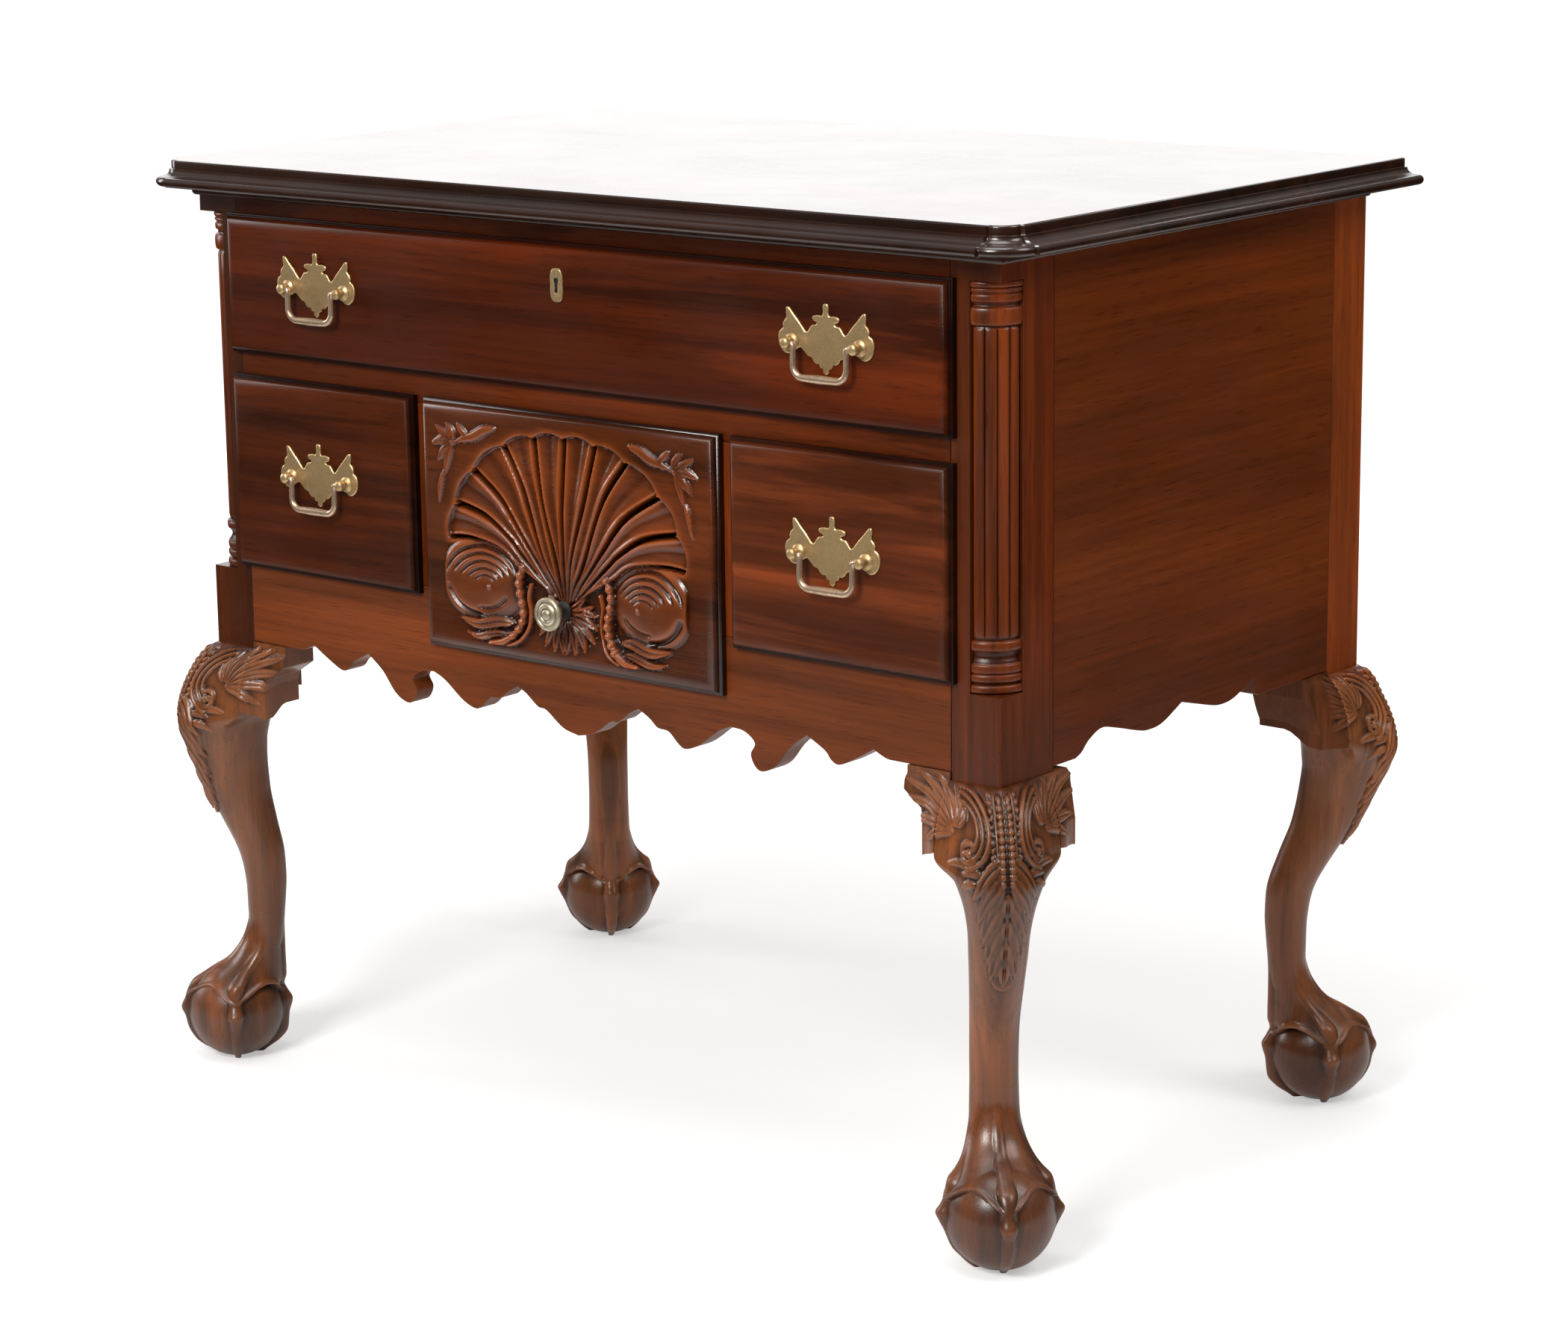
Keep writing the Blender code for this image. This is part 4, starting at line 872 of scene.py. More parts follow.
# ------------------------------------------------------------------ quarter columns
def column(name, sx):
    def torus(z0, z1, r, waist, n=7):
        return [
            (z0 + (z1 - z0) * (1 - math.cos(math.pi * i / n)) / 2, waist + (r - waist) * math.sin(math.pi * i / n) ** 0.7, 0.0)
            for i in range(n + 1)
        ]

    levels = [(0.4284, 0.0240, 0.0)]
    levels += torus(0.4286, 0.4345, 0.0262, 0.0246)
    levels += [(0.4352, 0.0232, 0.0), (0.4362, 0.0232, 0.0)]
    levels += torus(0.4366, 0.4425, 0.0258, 0.0240)
    levels += torus(0.4430, 0.4500, 0.0256, 0.0240)
    levels += [(0.4506, 0.0236, 0.0)]
    levels += [(0.4512 + 0.0075 * i / 6, 0.0236 - 0.0016 * math.sin(math.pi * i / 6), 0.0) for i in range(7)]
    levels += torus(0.4594, 0.4668, 0.0258, 0.0240)
    levels += [(0.4674, 0.0230, 0.0), (0.4686, 0.0232, 0.0), (0.4700, 0.0238, 0.4), (0.4722, 0.0243, 1.0)]
    levels += [(0.4722 + (0.6898 - 0.4722) * i / 12, 0.0243, 1.0) for i in range(1, 13)]
    levels += [(0.6912, 0.0238, 0.4), (0.6920, 0.0230, 0.0), (0.6930, 0.0230, 0.0)]
    levels += torus(0.6936, 0.7064, 0.0262, 0.0244, 12)
    levels += [(0.7070, 0.0234, 0.0), (0.7080, 0.0232, 0.0), (0.7094, 0.0236, 0.0)]
    levels += torus(0.7100, 0.7160, 0.0256, 0.0242)
    levels += torus(0.7172, 0.7200, 0.0258, 0.0244)
    levels += torus(0.7205, 0.7249, 0.0262, 0.0246)
    steps = 96
    ax, ay = sx * (HALF - RECESS + GAP), FRONT_Y + RECESS - GAP
    phi = np.linspace(0, 90, steps + 1)
    off = ((phi % 22.5) - 11.25) / 11.25
    flute = 0.0015 * (1 - np.sqrt(np.clip(1 - np.abs(off) ** 2.6, 0, 1))) + 0.0006 * (np.abs(off) > 0.93)
    verts, hollow = [], []
    for z, r, cut in levels:
        verts.append((ax, ay, z))
        hollow.append(0.0)
        for k, a in enumerate(np.radians(phi)):
            radius = r - cut * flute[k]
            verts.append((ax + sx * radius * math.cos(a), ay - radius * math.sin(a), z))
            # painted shade: the narrow rings between the mouldings and the grooves between the reeds are darkened
            # through the cavity attribute
            groove = 1.0 if r < 0.02375 and not cut else 0.35 if r < 0.0240 and not cut else 0.0
            hollow.append(max(0.7 * groove, 0.6 * cut * float(np.clip((abs(off[k]) - 0.66) / 0.34, 0, 1))))
    make("reeded_" + name, verts, tube_faces(len(levels), steps + 2), M["column"], "case", [name], sharp=50, cav=hollow)


# ------------------------------------------------------------------ panels and rails
SIDE_ARCS = (
    ((0.0935, 0.3650), (0.1015, 0.3684), (0.1105, 0.3756), (0.1265, 0.3814), (0.1450, 0.3780), (0.1748, 0.3698), (0.1892, 0.3676), (0.2070, 0.3694), (0.2328, 0.3802)),
    ((0.2328, 0.3802), (0.2550, 0.3745), (0.2752, 0.3694), (0.2878, 0.3677), (0.3030, 0.3690), (0.3200, 0.3746), (0.3335, 0.3795)),
    ((0.3335, 0.3795), (0.3345, 0.3720), (0.3360, 0.3665), (0.3400, 0.3650)),
)
APRON_ARCS = (
    ((0.0000, 0.3405), (0.0160, 0.3445), (0.0330, 0.3560), (0.0420, 0.3578), (0.0540, 0.3665), (0.0630, 0.3710)),
    ((0.0630, 0.3710), (0.0740, 0.3650), (0.0820, 0.3590), (0.0930, 0.3575), (0.1030, 0.3490), (0.1105, 0.3465), (0.1240, 0.3520), (0.1420, 0.3650), (0.1545, 0.3705)),
    ((0.1545, 0.3705), (0.1680, 0.3690), (0.1780, 0.3615), (0.1740, 0.3525), (0.1780, 0.3435), (0.1855, 0.3405), (0.1985, 0.3470), (0.2120, 0.3630), (0.2280, 0.3750)),
    ((0.2280, 0.3750), (0.2450, 0.3660), (0.2510, 0.3595), (0.2585, 0.3570), (0.2720, 0.3630), (0.2905, 0.3735)),
    ((0.2905, 0.3735), (0.3010, 0.3690), (0.3060, 0.3680)),
)


def side_panel(side, sx):
    y0, y1 = POST_FRONT_D + GAP, CASE_D - POST_BACK_D - GAP
    lower = [(y0, 0.3650), *arcs_line(SIDE_ARCS), (y1, 0.3650)]
    outline = [(FRONT_Y + y, z) for y, z in [(y0, POST_TOP), *lower, (y1, POST_TOP)]]
    ends = sorted((sx * (HALF - GAP), sx * (HALF - 0.0160)))
    verts, faces = prism(outline, "X", ends)
    make(f"shaped_{side}_side", verts, faces, M["side"], "case", [f"{side}_side_panel"], bevel=0.0006)


def apron():
    right = [*arcs_line(APRON_ARCS), (OPEN_X, 0.3680)]
    lower = [(-x, z) for x, z in reversed(right)] + right[1:]
    upper = [(OPEN_X, LOW_OPEN[0]), (DIVIDER_X[0], LOW_OPEN[0]), (DIVIDER_X[0], MID_OPEN[0])]
    outline = lower + upper + [(-x, z) for x, z in reversed(upper)]
    verts, faces = prism(outline, "Y", (FRONT_Y, FRONT_Y + 0.0200))
    make("shaped_apron", verts, faces, M["apron"], "case", ["front_apron"], bevel=0.0006)


# ------------------------------------------------------------------ drawer fronts
def front_levels():
    levels = [(FRONT_IN, -FIT), (-GAP, -FIT), (-GAP, LIP), (-LIP_T, LIP), (-LIP_T - 0.0003, LIP - 0.0012), (-LIP_T - 0.0010, LIP - 0.0016), (-LIP_T - 0.0012, LIP - 0.0024)]
    y0, g0 = -LIP_T - 0.0012, LIP - 0.0024
    y1, g1 = -FACE_OUT, LIP - THUMB_IN
    for i in range(1, 11):
        t = math.pi / 2 * i / 10
        levels.append((y0 + (y1 - y0) * math.sin(t), g0 + (g1 - g0) * (1 - math.cos(t))))
    return levels


def front_rings(x0, x1, z0, z1):
    return [
        [(px, FRONT_Y + y, pz) for px, pz in ((x0 - g, z0 - g), (x1 + g, z0 - g), (x1 + g, z1 + g), (x0 - g, z1 + g))]
        for y, g in front_levels()
    ]


def plain_front(name, x, z):
    rings = front_rings(*x, *z)
    verts = [p for ring in rings for p in ring]
    # painted shade: the lip's return and thumbnail moulding are darkened through the cavity attribute, fading out
    # towards the flat face
    cav = []
    for k in range(len(rings)):
        cav += [1.0 if k in (2, 3) else 0.95 if k in (4, 5, 6) else max(0.0, 0.62 - 0.11 * (k - 7)) if k > 6 else 0.0] * 4
    make("lipped_" + name, verts, tube_faces(len(rings), 4), M[name.replace("_front", "")], name.replace("_front", ""), [name], sharp=40, cav=cav)


def shell_height(x, z):
    """Carved shell of the middle drawer: a dished fan of lobes, leaf scrolls below it, sprigs in the corners."""
    r = Relief(np.abs(x), z)
    a, zz = r.x, r.z
    rim = (np.clip(a / 126.0, 0, None) ** 2.2 + np.clip((zz - 470) / 110.0, 0, None) ** 2.2) ** (1 / 2.2)
    # grooves between the lobes, from the hinge outwards
    grooves = [
        [(0, 446), (0, 488), (0, 520), (0, 585)],
        [(2.2, 447), (4, 461), (9, 486), (22, 530), (31, 573), (34, 588)],
        [(4.6, 448.5), (8.5, 460), (21, 482), (41, 533), (62, 564), (72, 580)],
        [(8.0, 450.5), (14, 460), (30, 480), (40, 493), (63, 521), (92, 540), (112, 552)],
        [(13, 453), (22, 461), (45, 482), (56, 492), (81, 507), (115, 514), (132, 516)],
        [(20, 455.5), (32, 462), (50, 471), (69, 483), (102, 487), (128, 484)],
    ]
    near, second = np.full(len(a), 1e9), np.full(len(a), 1e9)
    for path in grooves:
        pick, dist, _, _ = r.near(spline(path, 44), 60)
        full = np.full(len(a), 1e8)
        full[pick] = dist
        second = np.minimum(np.maximum(near, full), second)
        near = np.minimum(near, full)
    c = np.clip(near / (near + second + 1e-6), 0, 0.5)
    gap = np.clip(near + second, 0, 34)
    round_lobe = np.sqrt(np.clip(1 - (1 - 2 * c) ** 2, 0, 1))
    hollow = 0.26 * np.clip(gap - 6, 0, 20) * np.exp(-(((c - 0.5) / 0.20) ** 2))
    lobes = np.minimum(0.34 * gap, 7.2) * round_lobe**0.8 - 0.55 * hollow
    wide = np.clip(0.085 * gap, 0.8, 1.9)
    fillet = 1.5 * np.exp(-(((near - wide - 1.8) / 1.1) ** 2)) * np.clip(gap / 14, 0, 1)
    notch = np.clip(0.20 * gap, 1.2, 5.0) * np.exp(-((near / wide) ** 2))
    low_edge = np.interp(a, [0, 8, 20, 32, 50, 69, 102, 128], [446.5, 450, 455.5, 462, 471, 483, 487, 484])
    fan = (zz > low_edge) & (rim < 1)
    scallop = 0.985 - 0.045 * (1 - round_lobe)
    dish = -1.5 - 7.5 * np.clip(rim, 0, 1) ** 1.6
    wall = smooth01((rim - scallop) / 0.020)
    field = (dish + lobes + fillet - notch) * (1 - wall)
    h = np.where(fan | ((zz > low_edge) & (rim < 1.03)), field, 0.0)
    # hollow ground under the leaf scrolls
    lower = (zz <= low_edge) & (a < 125)
    bowl = ((a / 126.0) ** 2.6 + (np.clip(470 - zz, 0, None) / 67.0) ** 2.6) ** (1 / 2.6)
    ground = -4.6 * smooth01((1 - bowl) / 0.34)
    h = np.where(lower, ground, h)
    # big leaf either side
    leaf = Relief(a, zz)
    d = (np.abs((a - 87) / 41.0) ** 2.5 + np.abs((zz - 456) / 32.0) ** 2.5) ** 0.4
    leaf.h = np.where(d < 1, 8.2 * np.clip(1 - d**2, 0, 1) ** 0.62, 0.0)
    turn = lambda k, a0, a1: [(79 + 8 * k + 40 * k * math.cos(math.radians(t)), 450 + 5 * k + 31 * k * math.sin(math.radians(t))) for t in np.linspace(a0, a1, 28)]
    for k, a0, a1, w, deep in ((0.91, 8, 166, 1.8, 2.9), (0.75, 14, 163, 1.6, 2.5), (0.59, 18, 160, 1.5, 2.2), (0.44, 22, 157, 1.3, 1.9), (0.30, 26, 154, 1.2, 1.5), (0.86, -92, -6, 2.3, 3.8), (0.62, 200, 285, 1.4, 1.8)):
        leaf.cut(turn(k, a0, a1), w, deep)
    leaf.boss(77, 452, 4.2, 9.4)
    leaf.ridge([(56, 424), (70, 425), (90, 421), (110, 424)], 6.0, 6.0, "leaf", vein=0.3)
    leaf.ridge([(60, 416), (74, 415), (90, 411), (104, 413)], 4.2, 5.2, "leaf", vein=0.3)
    # C scroll with beads between the leaf and the knob
    scroll = [(43, 471), (47.5, 461), (46.5, 449), (43.5, 437), (45.5, 426), (52, 417), (62, 410.5), (75, 407)]
    leaf.ridge(scroll, 3.6, 7.0)
    leaf.ridge([(36, 458), (38.5, 448), (36.5, 436), (39, 423), (46, 413), (58, 407.5)], 1.8, 5.6)
    for bx, bz in spline(scroll, 12)[:9]:
        leaf.boss(bx, bz, 4.3, 8.8)
    # little leaves fanned round the knob
    for ang, length, w in ((-88, 34, 4.8), (-72, 35, 5.2), (-55, 37, 5.4), (-38, 37, 5.2), (-20, 34, 5.0), (-2, 31, 4.6), (16, 29, 4.2), (36, 24, 3.8)):
        t = math.radians(ang)
        c0, s0 = math.cos(t), math.sin(t)
        bend = 0.16 if ang < 0 else -0.16
        leaf.ridge(
            [(5 * c0, 441 + 5 * s0), (0.55 * length * math.cos(t + bend), 441 + 0.55 * length * math.sin(t + bend)), (length * c0, 441 + length * s0)],
            w,
            6.4,
            "leaf",
            vein=0.45,
        )
    h = np.where(lower, h + leaf.total(), h)
    over = leaf.h > 0.3
    h = np.where(~lower & over & (zz < 492), np.maximum(h, leaf.total() - 5.2), h)
    # sprigs in the upper corners
    sprig = Relief(a, zz)
    sprig.ridge([(68, 578.5), (80, 575.5), (91, 570), (102, 567), (114, 563)], 4.6, 3.4, "leaf", vein=0.15)
    for mid, tip, w in (
        ((115, 571), (122, 578), 3.2),
        ((121, 568), (133, 575), 3.2),
        ((124, 564), (137, 560), 3.6),
        ((122, 557), (131, 547), 3.4),
        ((119, 552), (124, 536), 3.2),
        ((104, 573), (110, 579), 2.6),
        ((128, 528), (131, 512), 2.2),
    ):
        root = (114, 563) if mid[1] > 530 and mid[0] > 110 else (98, 569) if mid[0] < 110 else (124, 540)
        sprig.ridge([root, mid, tip], 1.25 * w, 2.9, "leaf", vein=0.35)
    sprig.boss(114.5, 563, 2.8, 2.9)
    h = np.maximum(h, np.where(sprig.h > 0.05, sprig.total(), -99))
    return h.reshape(np.shape(x))


def shell_front():
    name, body = "shell_drawer_front", "shell_drawer"
    rings = front_rings(-DIVIDER_X[0], DIVIDER_X[0], *MID_OPEN)
    verts = [p for ring in rings for p in ring]
    faces = tube_faces(len(rings), 4, caps=False)
    faces.append((3, 2, 1, 0))
    # painted shade: the lip's return and thumbnail moulding are darkened through the cavity attribute, fading out
    # towards the flat face
    cav = []
    for k in range(len(rings)):
        cav += [1.0 if k in (2, 3) else 0.95 if k in (4, 5, 6) else max(0.0, 0.62 - 0.11 * (k - 7)) if k > 6 else 0.0] * 4
    g = LIP - THUMB_IN
    x0, x1 = -DIVIDER_X[0] - g, DIVIDER_X[0] + g
    z0, z1 = MID_OPEN[0] - g, MID_OPEN[1] + g
    nx, nz = 320, 202
    xs, zs = np.linspace(x0, x1, nx), np.linspace(z0, z1, nz)
    gx, gz = np.meshgrid(xs, zs)
    h = shell_height(gx * 1000, gz * 1000)
    edge = np.minimum(np.minimum(gx - x0, x1 - gx), np.minimum(gz - z0, z1 - gz))
    h = h * smooth01(edge / 0.0016)
    first = len(verts)
    verts += [(gx[i, j], FACE_Y - h[i, j] / 1000, gz[i, j]) for i in range(nz) for j in range(nx)]
    faces += [
        (first + i * nx + j, first + i * nx + j + 1, first + (i + 1) * nx + j + 1, first + (i + 1) * nx + j)
        for i in range(nz - 1)
        for j in range(nx - 1)
    ]
    last = (len(rings) - 1) * 4
    low = [first + j for j in range(nx)]
    high = [first + (nz - 1) * nx + j for j in range(nx)]
    left = [first + i * nx for i in range(nz)]
    right = [first + i * nx + nx - 1 for i in range(nz)]
    # the four corner points of the last ring are the grid's own corners
    swap = {last: low[0], last + 1: low[-1], last + 2: high[-1], last + 3: high[0]}
    before = last - 4
    faces = [f for f in faces if not (len(f) == 4 and all(before <= v < last + 4 for v in f))]
    faces.append((before, *low, before + 1))
    faces.append((before + 1, *right, before + 2))
    faces.append((before + 2, *reversed(high), before + 3))
    faces.append((before + 3, *reversed(left), before))
    # painted shade in the carving's hollows and painted highlight on its ridges; over the rolled leaves the values are
    # pulled down so they take extra painted highlight
    rolled = 1 - np.hypot((np.abs(gx) * 1000 - 87) / 42.0, (gz * 1000 - 456) / 33.0) ** 2
    deep = np.clip(cavity(h, 2.2, reach=3) - 0.24 * np.sqrt(np.clip(rolled, 0, 1)), -1, 1)
    cav = np.concatenate([cav, deep.ravel()])
    used = sorted({v for f in faces for v in f})
    renum = {v: i for i, v in enumerate(used)}
    verts = [verts[v] for v in used]
    faces = [tuple(renum[v] for v in f) for f in faces]
    make("carved_" + name, verts, faces, M["shell_drawer"], body, [name], sharp=48, cav=cav[used])


# ------------------------------------------------------------------ brass
def lathe(profile, n=36):
    """profile of (out, radius), turned about Y at the origin: points and faces, closed at both ends."""
    verts = []
    for out, radius in profile:
        for i in range(n):
            t = 2 * math.pi * i / n
            verts.append((radius * math.cos(t), -out, radius * math.sin(t)))
    return verts, tube_faces(len(profile), n)


PLATE_HALF = (
    (0.0, 25.8), (1.8, 25.2), (2.6, 22.8), (2.5, 19.4), (3.4, 16.8), (7.0, 17.0), (11.2, 16.2), (12.4, 14.2), (10.8, 12.5), (8.2, 11.6), (9.2, 10.0), (12.6, 9.4),
    (14.8, 7.0), (16.8, 4.4), (18.6, 4.3), (21.2, 7.2), (24.6, 11.2), (28.4, 15.0), (31.6, 18.6), (34.2, 21.0), (36.2, 20.6), (36.6, 17.0), (36.2, 13.2), (38.4, 10.6),
    (39.6, 8.0), (39.4, 5.4), (42.2, 3.2), (43.8, -0.8), (43.4, -5.2), (41.6, -9.2), (38.0, -12.4), (34.0, -13.0), (31.0, -11.4), (27.6, -9.4), (23.6, -7.6), (20.4, -9.8),
    (16.6, -13.2), (13.4, -14.2), (11.4, -17.0), (8.4, -18.6), (6.6, -18.4), (5.4, -21.0), (2.9, -21.8), (2.5, -24.4), (0.0, -26.0),
)


def pull(name, body, x, z):
    half = spline(PLATE_HALF, 133) / 1000
    half[0, 0] = half[-1, 0] = 0.0
    outline = [tuple(p) for p in half] + [(-a, b) for a, b in reversed([tuple(p) for p in half[1:-1]])]
    y1 = FACE_Y - GAP
    y0 = y1 - PLATE_T
    n = len(outline)
    centre = np.array(outline)
    tangent = np.roll(centre, -1, 0) - np.roll(centre, 1, 0)
    normal = np.stack([tangent[:, 1], -tangent[:, 0]], 1)
    normal /= np.linalg.norm(normal, axis=1)[:, None] + 1e-12
    if np.sum(normal * centre) < 0:
        normal = -normal
    verts = []
    for y, inset in ((y1, 0.0), (y0 + 0.0006, 0.0), (y0 + 0.0001, 0.00055), (y0, 0.0009)):
        ring = centre - normal * inset
        verts += [(x + a, y, z + b) for a, b in ring]
    faces = tube_faces(4, n)
    stud = [(0.0012, 0.0062), (0.0018, 0.0064), (0.0024, 0.0060), (0.0029, 0.0046), (0.0038, 0.0036), (0.0052, 0.0034), (0.0062, 0.0040), (0.0072, 0.0044), (0.0088, 0.0045), (0.0104, 0.0042), (0.0114, 0.0034), (0.0119, 0.0018), (0.0120, 0.0004)]
    for side in (-1, 1):
        v, f = lathe(stud, 28)
        first = len(verts)
        verts += [(x + side * POST_X + a, y1 + b, z + PIN_UP + c) for a, b, c in v]
        faces += [tuple(first + k for k in q) for q in f]
    make("pierced_" + name + "_backplate", verts, faces, M["brass"], body, [name + "_backplate"], sharp=45)

    path = [(-POST_X + 0.0046, 0.0, PIN_R), (-POST_X + 0.0052, 0.0, 0.0020), (-BAIL_X - 0.0010, 0.0, 0.0023), (-BAIL_X + 0.0002, -0.0016, 0.0024), (-BAIL_X, -0.0060, 0.0021)]
    path.append((-BAIL_X, -BAIL_DROP + BAIL_BEND + 0.006, 0.0023))
    for i in range(13):
        t = math.pi / 2 * i / 12
        path.append((-BAIL_X + BAIL_BEND * (1 - math.cos(t)), -BAIL_DROP + BAIL_BEND * (1 - math.sin(t)), 0.0024 + 0.0004 * i / 12))
    for k in (0.7, 0.45, 0.2):
        path.append((-(BAIL_X - BAIL_BEND) * k, -BAIL_DROP, 0.0028 + 0.0005 * (1 - k)))
    path.append((0.0, -BAIL_DROP, 0.0033))
    path += [(-a, b, r) for a, b, r in reversed(path[:-1])]
    steps, verts = 16, []
    for i, (a, b, r) in enumerate(path):
        before, after = path[max(i - 1, 0)], path[min(i + 1, len(path) - 1)]
        along = Vector((after[0] - before[0], 0, after[1] - before[1])).normalized()
        side = Vector((along.z, 0.0, -along.x))
        for j in range(steps):
            t = 2 * math.pi * j / steps
            verts.append(
                (
                    x + a + side.x * r * math.cos(t),
                    y1 - PIN_OUT + r * math.sin(t),
                    z + PIN_UP + b + side.z * r * math.cos(t),
                )
            )
    make("shaped_" + name + "_bail", verts, tube_faces(len(path), steps), M["bail"], name + "_bail", [name + "_bail"], sharp=60)


def escutcheon():
    n = 96
    y1, y0 = FACE_Y - GAP, FACE_Y - GAP - PLATE_T
    th = 2 * np.pi * np.arange(n) / n
    c, s = np.cos(th), np.sin(th)
    outer = 1 / ((np.abs(c) / 0.0064) ** 3.2 + (np.abs(s) / 0.0130) ** 3.2) ** (1 / 3.2)
    outer = outer * (1 - 0.05 * np.exp(-((s / 0.25) ** 2)))
    slot = 1 / np.maximum(np.abs(c) / 0.0014, np.abs(s) / np.where(s > 0, 0.0040, 0.0058))
    up, rr = 0.0032, 0.0023
    under = rr**2 - (up * c) ** 2
    ring = np.where((under > 0) & (s > 0), up * s + np.sqrt(np.clip(under, 0, None)), 0)
    inner = np.maximum(slot, ring)
    verts = []
    for y, r in ((y1, outer), (y0 + 0.0006, outer), (y0 + 0.0001, outer - 0.0005), (y0, outer - 0.0009), (y0, inner + 0.0009), (y0 + 0.0003, inner + 0.0002), (y1 - 0.0004, inner)):
        verts += [(r[i] * c[i], y, KEY_Z + r[i] * s[i]) for i in range(n)]
    faces = tube_faces(7, n)
    # painted shade: the slot's inner wall and a sheet across its back take the near-black finish in place of the shade
    # inside the keyhole
    mats = [0] * len(faces)
    mats[-1] = 1
    for k in range(5 * n, 6 * n):
        mats[k] = 1
    make("keyhole_escutcheon", verts, faces, [M["brass"], M["hole"]], "top_drawer", ["escutcheon"], sharp=45, face_mats=mats)


def knob():
    profile = [
        (0.3, 7.0), (1.0, 7.4), (1.8, 7.2), (2.4, 6.6), (2.6, 6.2), (3.4, 5.8), (4.2, 5.2), (5.2, 4.7), (7.5, 4.3), (10.5, 4.4), (13.0, 5.8), (15.2, 8.8),
        (16.8, 11.4), (18.0, 12.8), (19.2, 13.3), (20.4, 13.3), (21.4, 12.6), (22.0, 11.4), (21.9, 10.4), (21.2, 9.7), (21.3, 9.0), (22.3, 8.3), (22.9, 7.0),
        (22.9, 5.8), (22.1, 5.0), (22.2, 4.3), (23.1, 3.5), (23.5, 2.0), (23.6, 0.4),
    ]
    verts, faces = lathe([(a / 1000, b / 1000) for a, b in profile], 48)
    cav = []
    for a, b in profile:
        cav += [0.7 if b in (9.7, 9.0, 5.0, 4.3) else 0.0] * 48
    verts = [(a, FACE_Y + b, KNOB_Z + c) for a, b, c in verts]
    # painted shadow: the first rings at the knob's foot take the near-black finish
    make("turned_shell_drawer_knob", verts, faces, [M["knob"], M["hole"]], "shell_drawer", ["shell_drawer_knob"], sharp=50, cav=cav, face_mats=[1 if k < 8 * 48 else 0 for k in range(len(faces))])


# ------------------------------------------------------------------ assemble
top_board()
bed_moulding()
for side, sx in (("left", -1), ("right", 1)):
    leg(f"front_{side}_leg", sx, True)
    leg(f"back_{side}_leg", sx, False)
    column(f"{side}_quarter_column", sx)
    side_panel(side, sx)
knee_blocks()
apron()
plain_front("top_drawer_front", (-OPEN_X, OPEN_X), TOP_OPEN)
plain_front("left_drawer_front", (-OPEN_X, -DIVIDER_X[1]), LOW_OPEN)
plain_front("right_drawer_front", (DIVIDER_X[1], OPEN_X), LOW_OPEN)
shell_front()
pull("top_left_pull", "top_drawer", -TOP_PULL_X, TOP_PULL_Z)
pull("top_right_pull", "top_drawer", TOP_PULL_X, TOP_PULL_Z)
pull("lower_left_pull", "left_drawer", -LOW_PULL_X, LOW_PULL_Z)
pull("lower_right_pull", "right_drawer", LOW_PULL_X, LOW_PULL_Z)
escutcheon()
knob()

dress("top_front_rail", M["rail"], 0.0005)
dress("middle_rail", M["rail"], 0.0005)
dress("back_panel", M["second_x"], 0.0006)
dress("lock_case", M["iron"], 0.0004)
dress("lock_bolt", M["iron"], 0.0004)
for side in ("left", "right"):
    dress(f"{side}_drawer_divider", M["upright"], 0.0005)
    for level in ("top", "lower", "middle"):
        dress(f"{level}_{side}_runner", M["second_y"], 0.0006)
for drawer in ("top", "left", "right", "shell"):
    dress(f"{drawer}_drawer_left_side", M["second_y"], 0.0006)
    dress(f"{drawer}_drawer_right_side", M["second_y"], 0.0006)
    dress(f"{drawer}_drawer_back", M["second_x"], 0.0006)
    dress(f"{drawer}_drawer_bottom", M["second_x"], 0.0004)


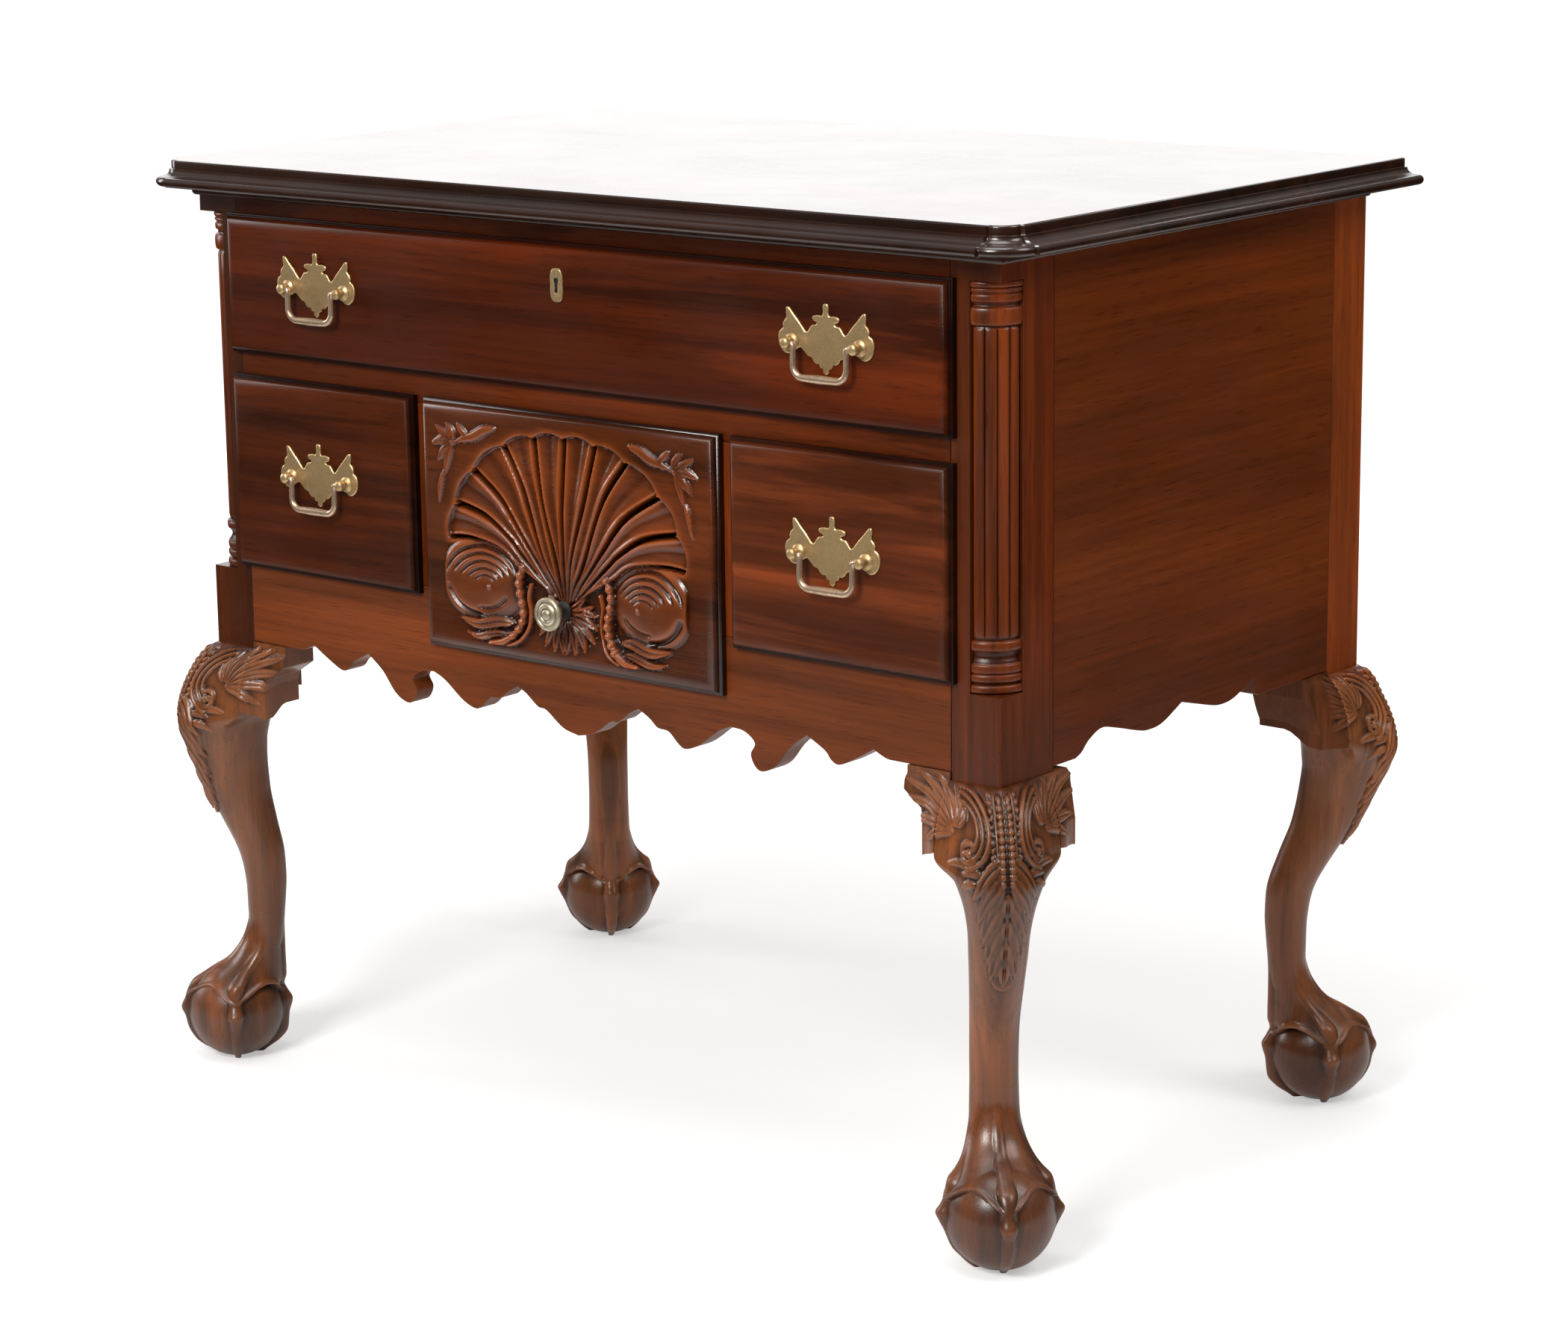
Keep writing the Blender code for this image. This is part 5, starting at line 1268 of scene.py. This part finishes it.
# ------------------------------------------------------------------ floor, light, camera
def stage():
    scene = bpy.context.scene
    mesh = bpy.data.meshes.new("floor")
    mesh.from_pydata([(-60, -60, 0), (60, -60, 0), (60, 60, 0), (-60, 60, 0)], [], [(0, 1, 2, 3)])
    g = Graph("pale_floor")
    g.bsdf.inputs["Base Color"].default_value = (0.60, 0.60, 0.60, 1.0)
    g.bsdf.inputs["Roughness"].default_value = 1.0
    g.bsdf.inputs["Specular IOR Level"].default_value = 0.0
    g.bsdf.inputs["Emission Color"].default_value = (1.0, 0.995, 0.985, 1.0)
    position = g.node("ShaderNodeNewGeometry").outputs["Position"]
    far = g.node("ShaderNodeVectorMath", {0: position}, operation="LENGTH").outputs["Value"]
    path = g.node("ShaderNodeLightPath")
    seen = g.remap(path.outputs["Is Camera Ray"], 0.0, 1.0, 0.45, 1.0)
    g.feed(g.bsdf.inputs["Emission Strength"], g.math("MULTIPLY", seen, g.remap(far, 0.9, 2.2, 0.435, 0.85)))
    away = g.math("MULTIPLY", path.outputs["Is Glossy Ray"], g.remap(far, 0.8, 1.6, 0.0, 1.0))
    black = g.node("ShaderNodeEmission", {"Color": (0.010, 0.009, 0.008, 1.0), "Strength": 1.0})
    blend = g.node("ShaderNodeMixShader", {0: away, 1: g.bsdf.outputs[0], 2: black.outputs[0]})
    g.tree.links.new(blend.outputs[0], g.tree.nodes["Material Output"].inputs["Surface"])
    mesh.materials.append(g.mat)
    floor = bpy.data.objects.new("floor", mesh)
    scene.collection.objects.link(floor)

    world = bpy.data.worlds.new("studio")
    scene.world = world
    world.use_nodes = True
    t = world.node_tree
    coord = t.nodes.new("ShaderNodeTexCoord")
    split = t.nodes.new("ShaderNodeSeparateXYZ")
    t.links.new(coord.outputs["Generated"], split.inputs[0])
    ramp = t.nodes.new("ShaderNodeValToRGB")
    t.links.new(split.outputs["Z"], ramp.inputs[0])
    ramp.color_ramp.elements[0].position, ramp.color_ramp.elements[0].color = 0.05, (0.03, 0.03, 0.03, 1)
    ramp.color_ramp.elements[1].position, ramp.color_ramp.elements[1].color = 0.9, (0.44, 0.44, 0.44, 1)
    back = t.nodes["Background"]
    t.links.new(ramp.outputs[0], back.inputs["Color"])
    back.inputs["Strength"].default_value = 1.0
    pale = t.nodes.new("ShaderNodeBackground")
    pale.inputs["Color"].default_value = (1.0, 1.0, 1.0, 1.0)
    ray = t.nodes.new("ShaderNodeLightPath")
    pick = t.nodes.new("ShaderNodeMixShader")
    t.links.new(ray.outputs["Is Camera Ray"], pick.inputs[0])
    t.links.new(back.outputs[0], pick.inputs[1])
    t.links.new(pale.outputs[0], pick.inputs[2])
    t.links.new(pick.outputs[0], t.nodes["World Output"].inputs["Surface"])

    def area(name, at, to, size, watts, colour=(1, 1, 1)):
        light = bpy.data.lights.new(name, "AREA")
        light.shape, light.size, light.size_y = "RECTANGLE", size[0], size[1]
        light.energy, light.color = watts, colour
        obj = bpy.data.objects.new(name, light)
        obj.location = at
        obj.rotation_euler = (Vector(to) - Vector(at)).to_track_quat("-Z", "Y").to_euler()
        obj.visible_camera = False
        scene.collection.objects.link(obj)

    area("key", (0.35, -3.0, 2.4), (0.15, 0, 0.4), (1.1, 1.1), 100, (1.0, 0.98, 0.95))
    area("fill", (2.4, 0.5, 2.6), (0.1, 0, 0.4), (1.4, 1.4), 33)
    area("left", (-3.1, -0.9, 1.3), (0, -0.2, 0.5), (0.8, 1.6), 26)
    area("above", (0.2, -0.5, 3.2), (0, 0, 0.3), (1.8, 1.8), 45)
    area("behind", (-1.96, 2.27, 1.7), (0, 0, 0.75), (4.0, 2.2), 47)

    camera = bpy.data.cameras.new("camera")
    camera.sensor_width, camera.lens = 36.0, 93.21
    camera.shift_x, camera.shift_y = 0.0811, -0.0098
    camera.clip_end = 200.0
    yaw, pitch, roll = 0.7143, 0.2234, -0.01896
    f = Vector((-math.sin(yaw) * math.cos(pitch), math.cos(yaw) * math.cos(pitch), -math.sin(pitch)))
    r = Vector((math.cos(yaw), math.sin(yaw), 0.0))
    u = r.cross(f)
    r2 = r * math.cos(roll) + u * math.sin(roll)
    u2 = u * math.cos(roll) - r * math.sin(roll)
    obj = bpy.data.objects.new("camera", camera)
    obj.matrix_world = Matrix(
        ((r2.x, u2.x, -f.x, 2.0581), (r2.y, u2.y, -f.y, -2.51454), (r2.z, u2.z, -f.z, 1.11072), (0, 0, 0, 1))
    )
    scene.collection.objects.link(obj)
    scene.camera = obj
    scene.view_settings.view_transform = "Standard"
    scene.view_settings.look = "None"


stage()
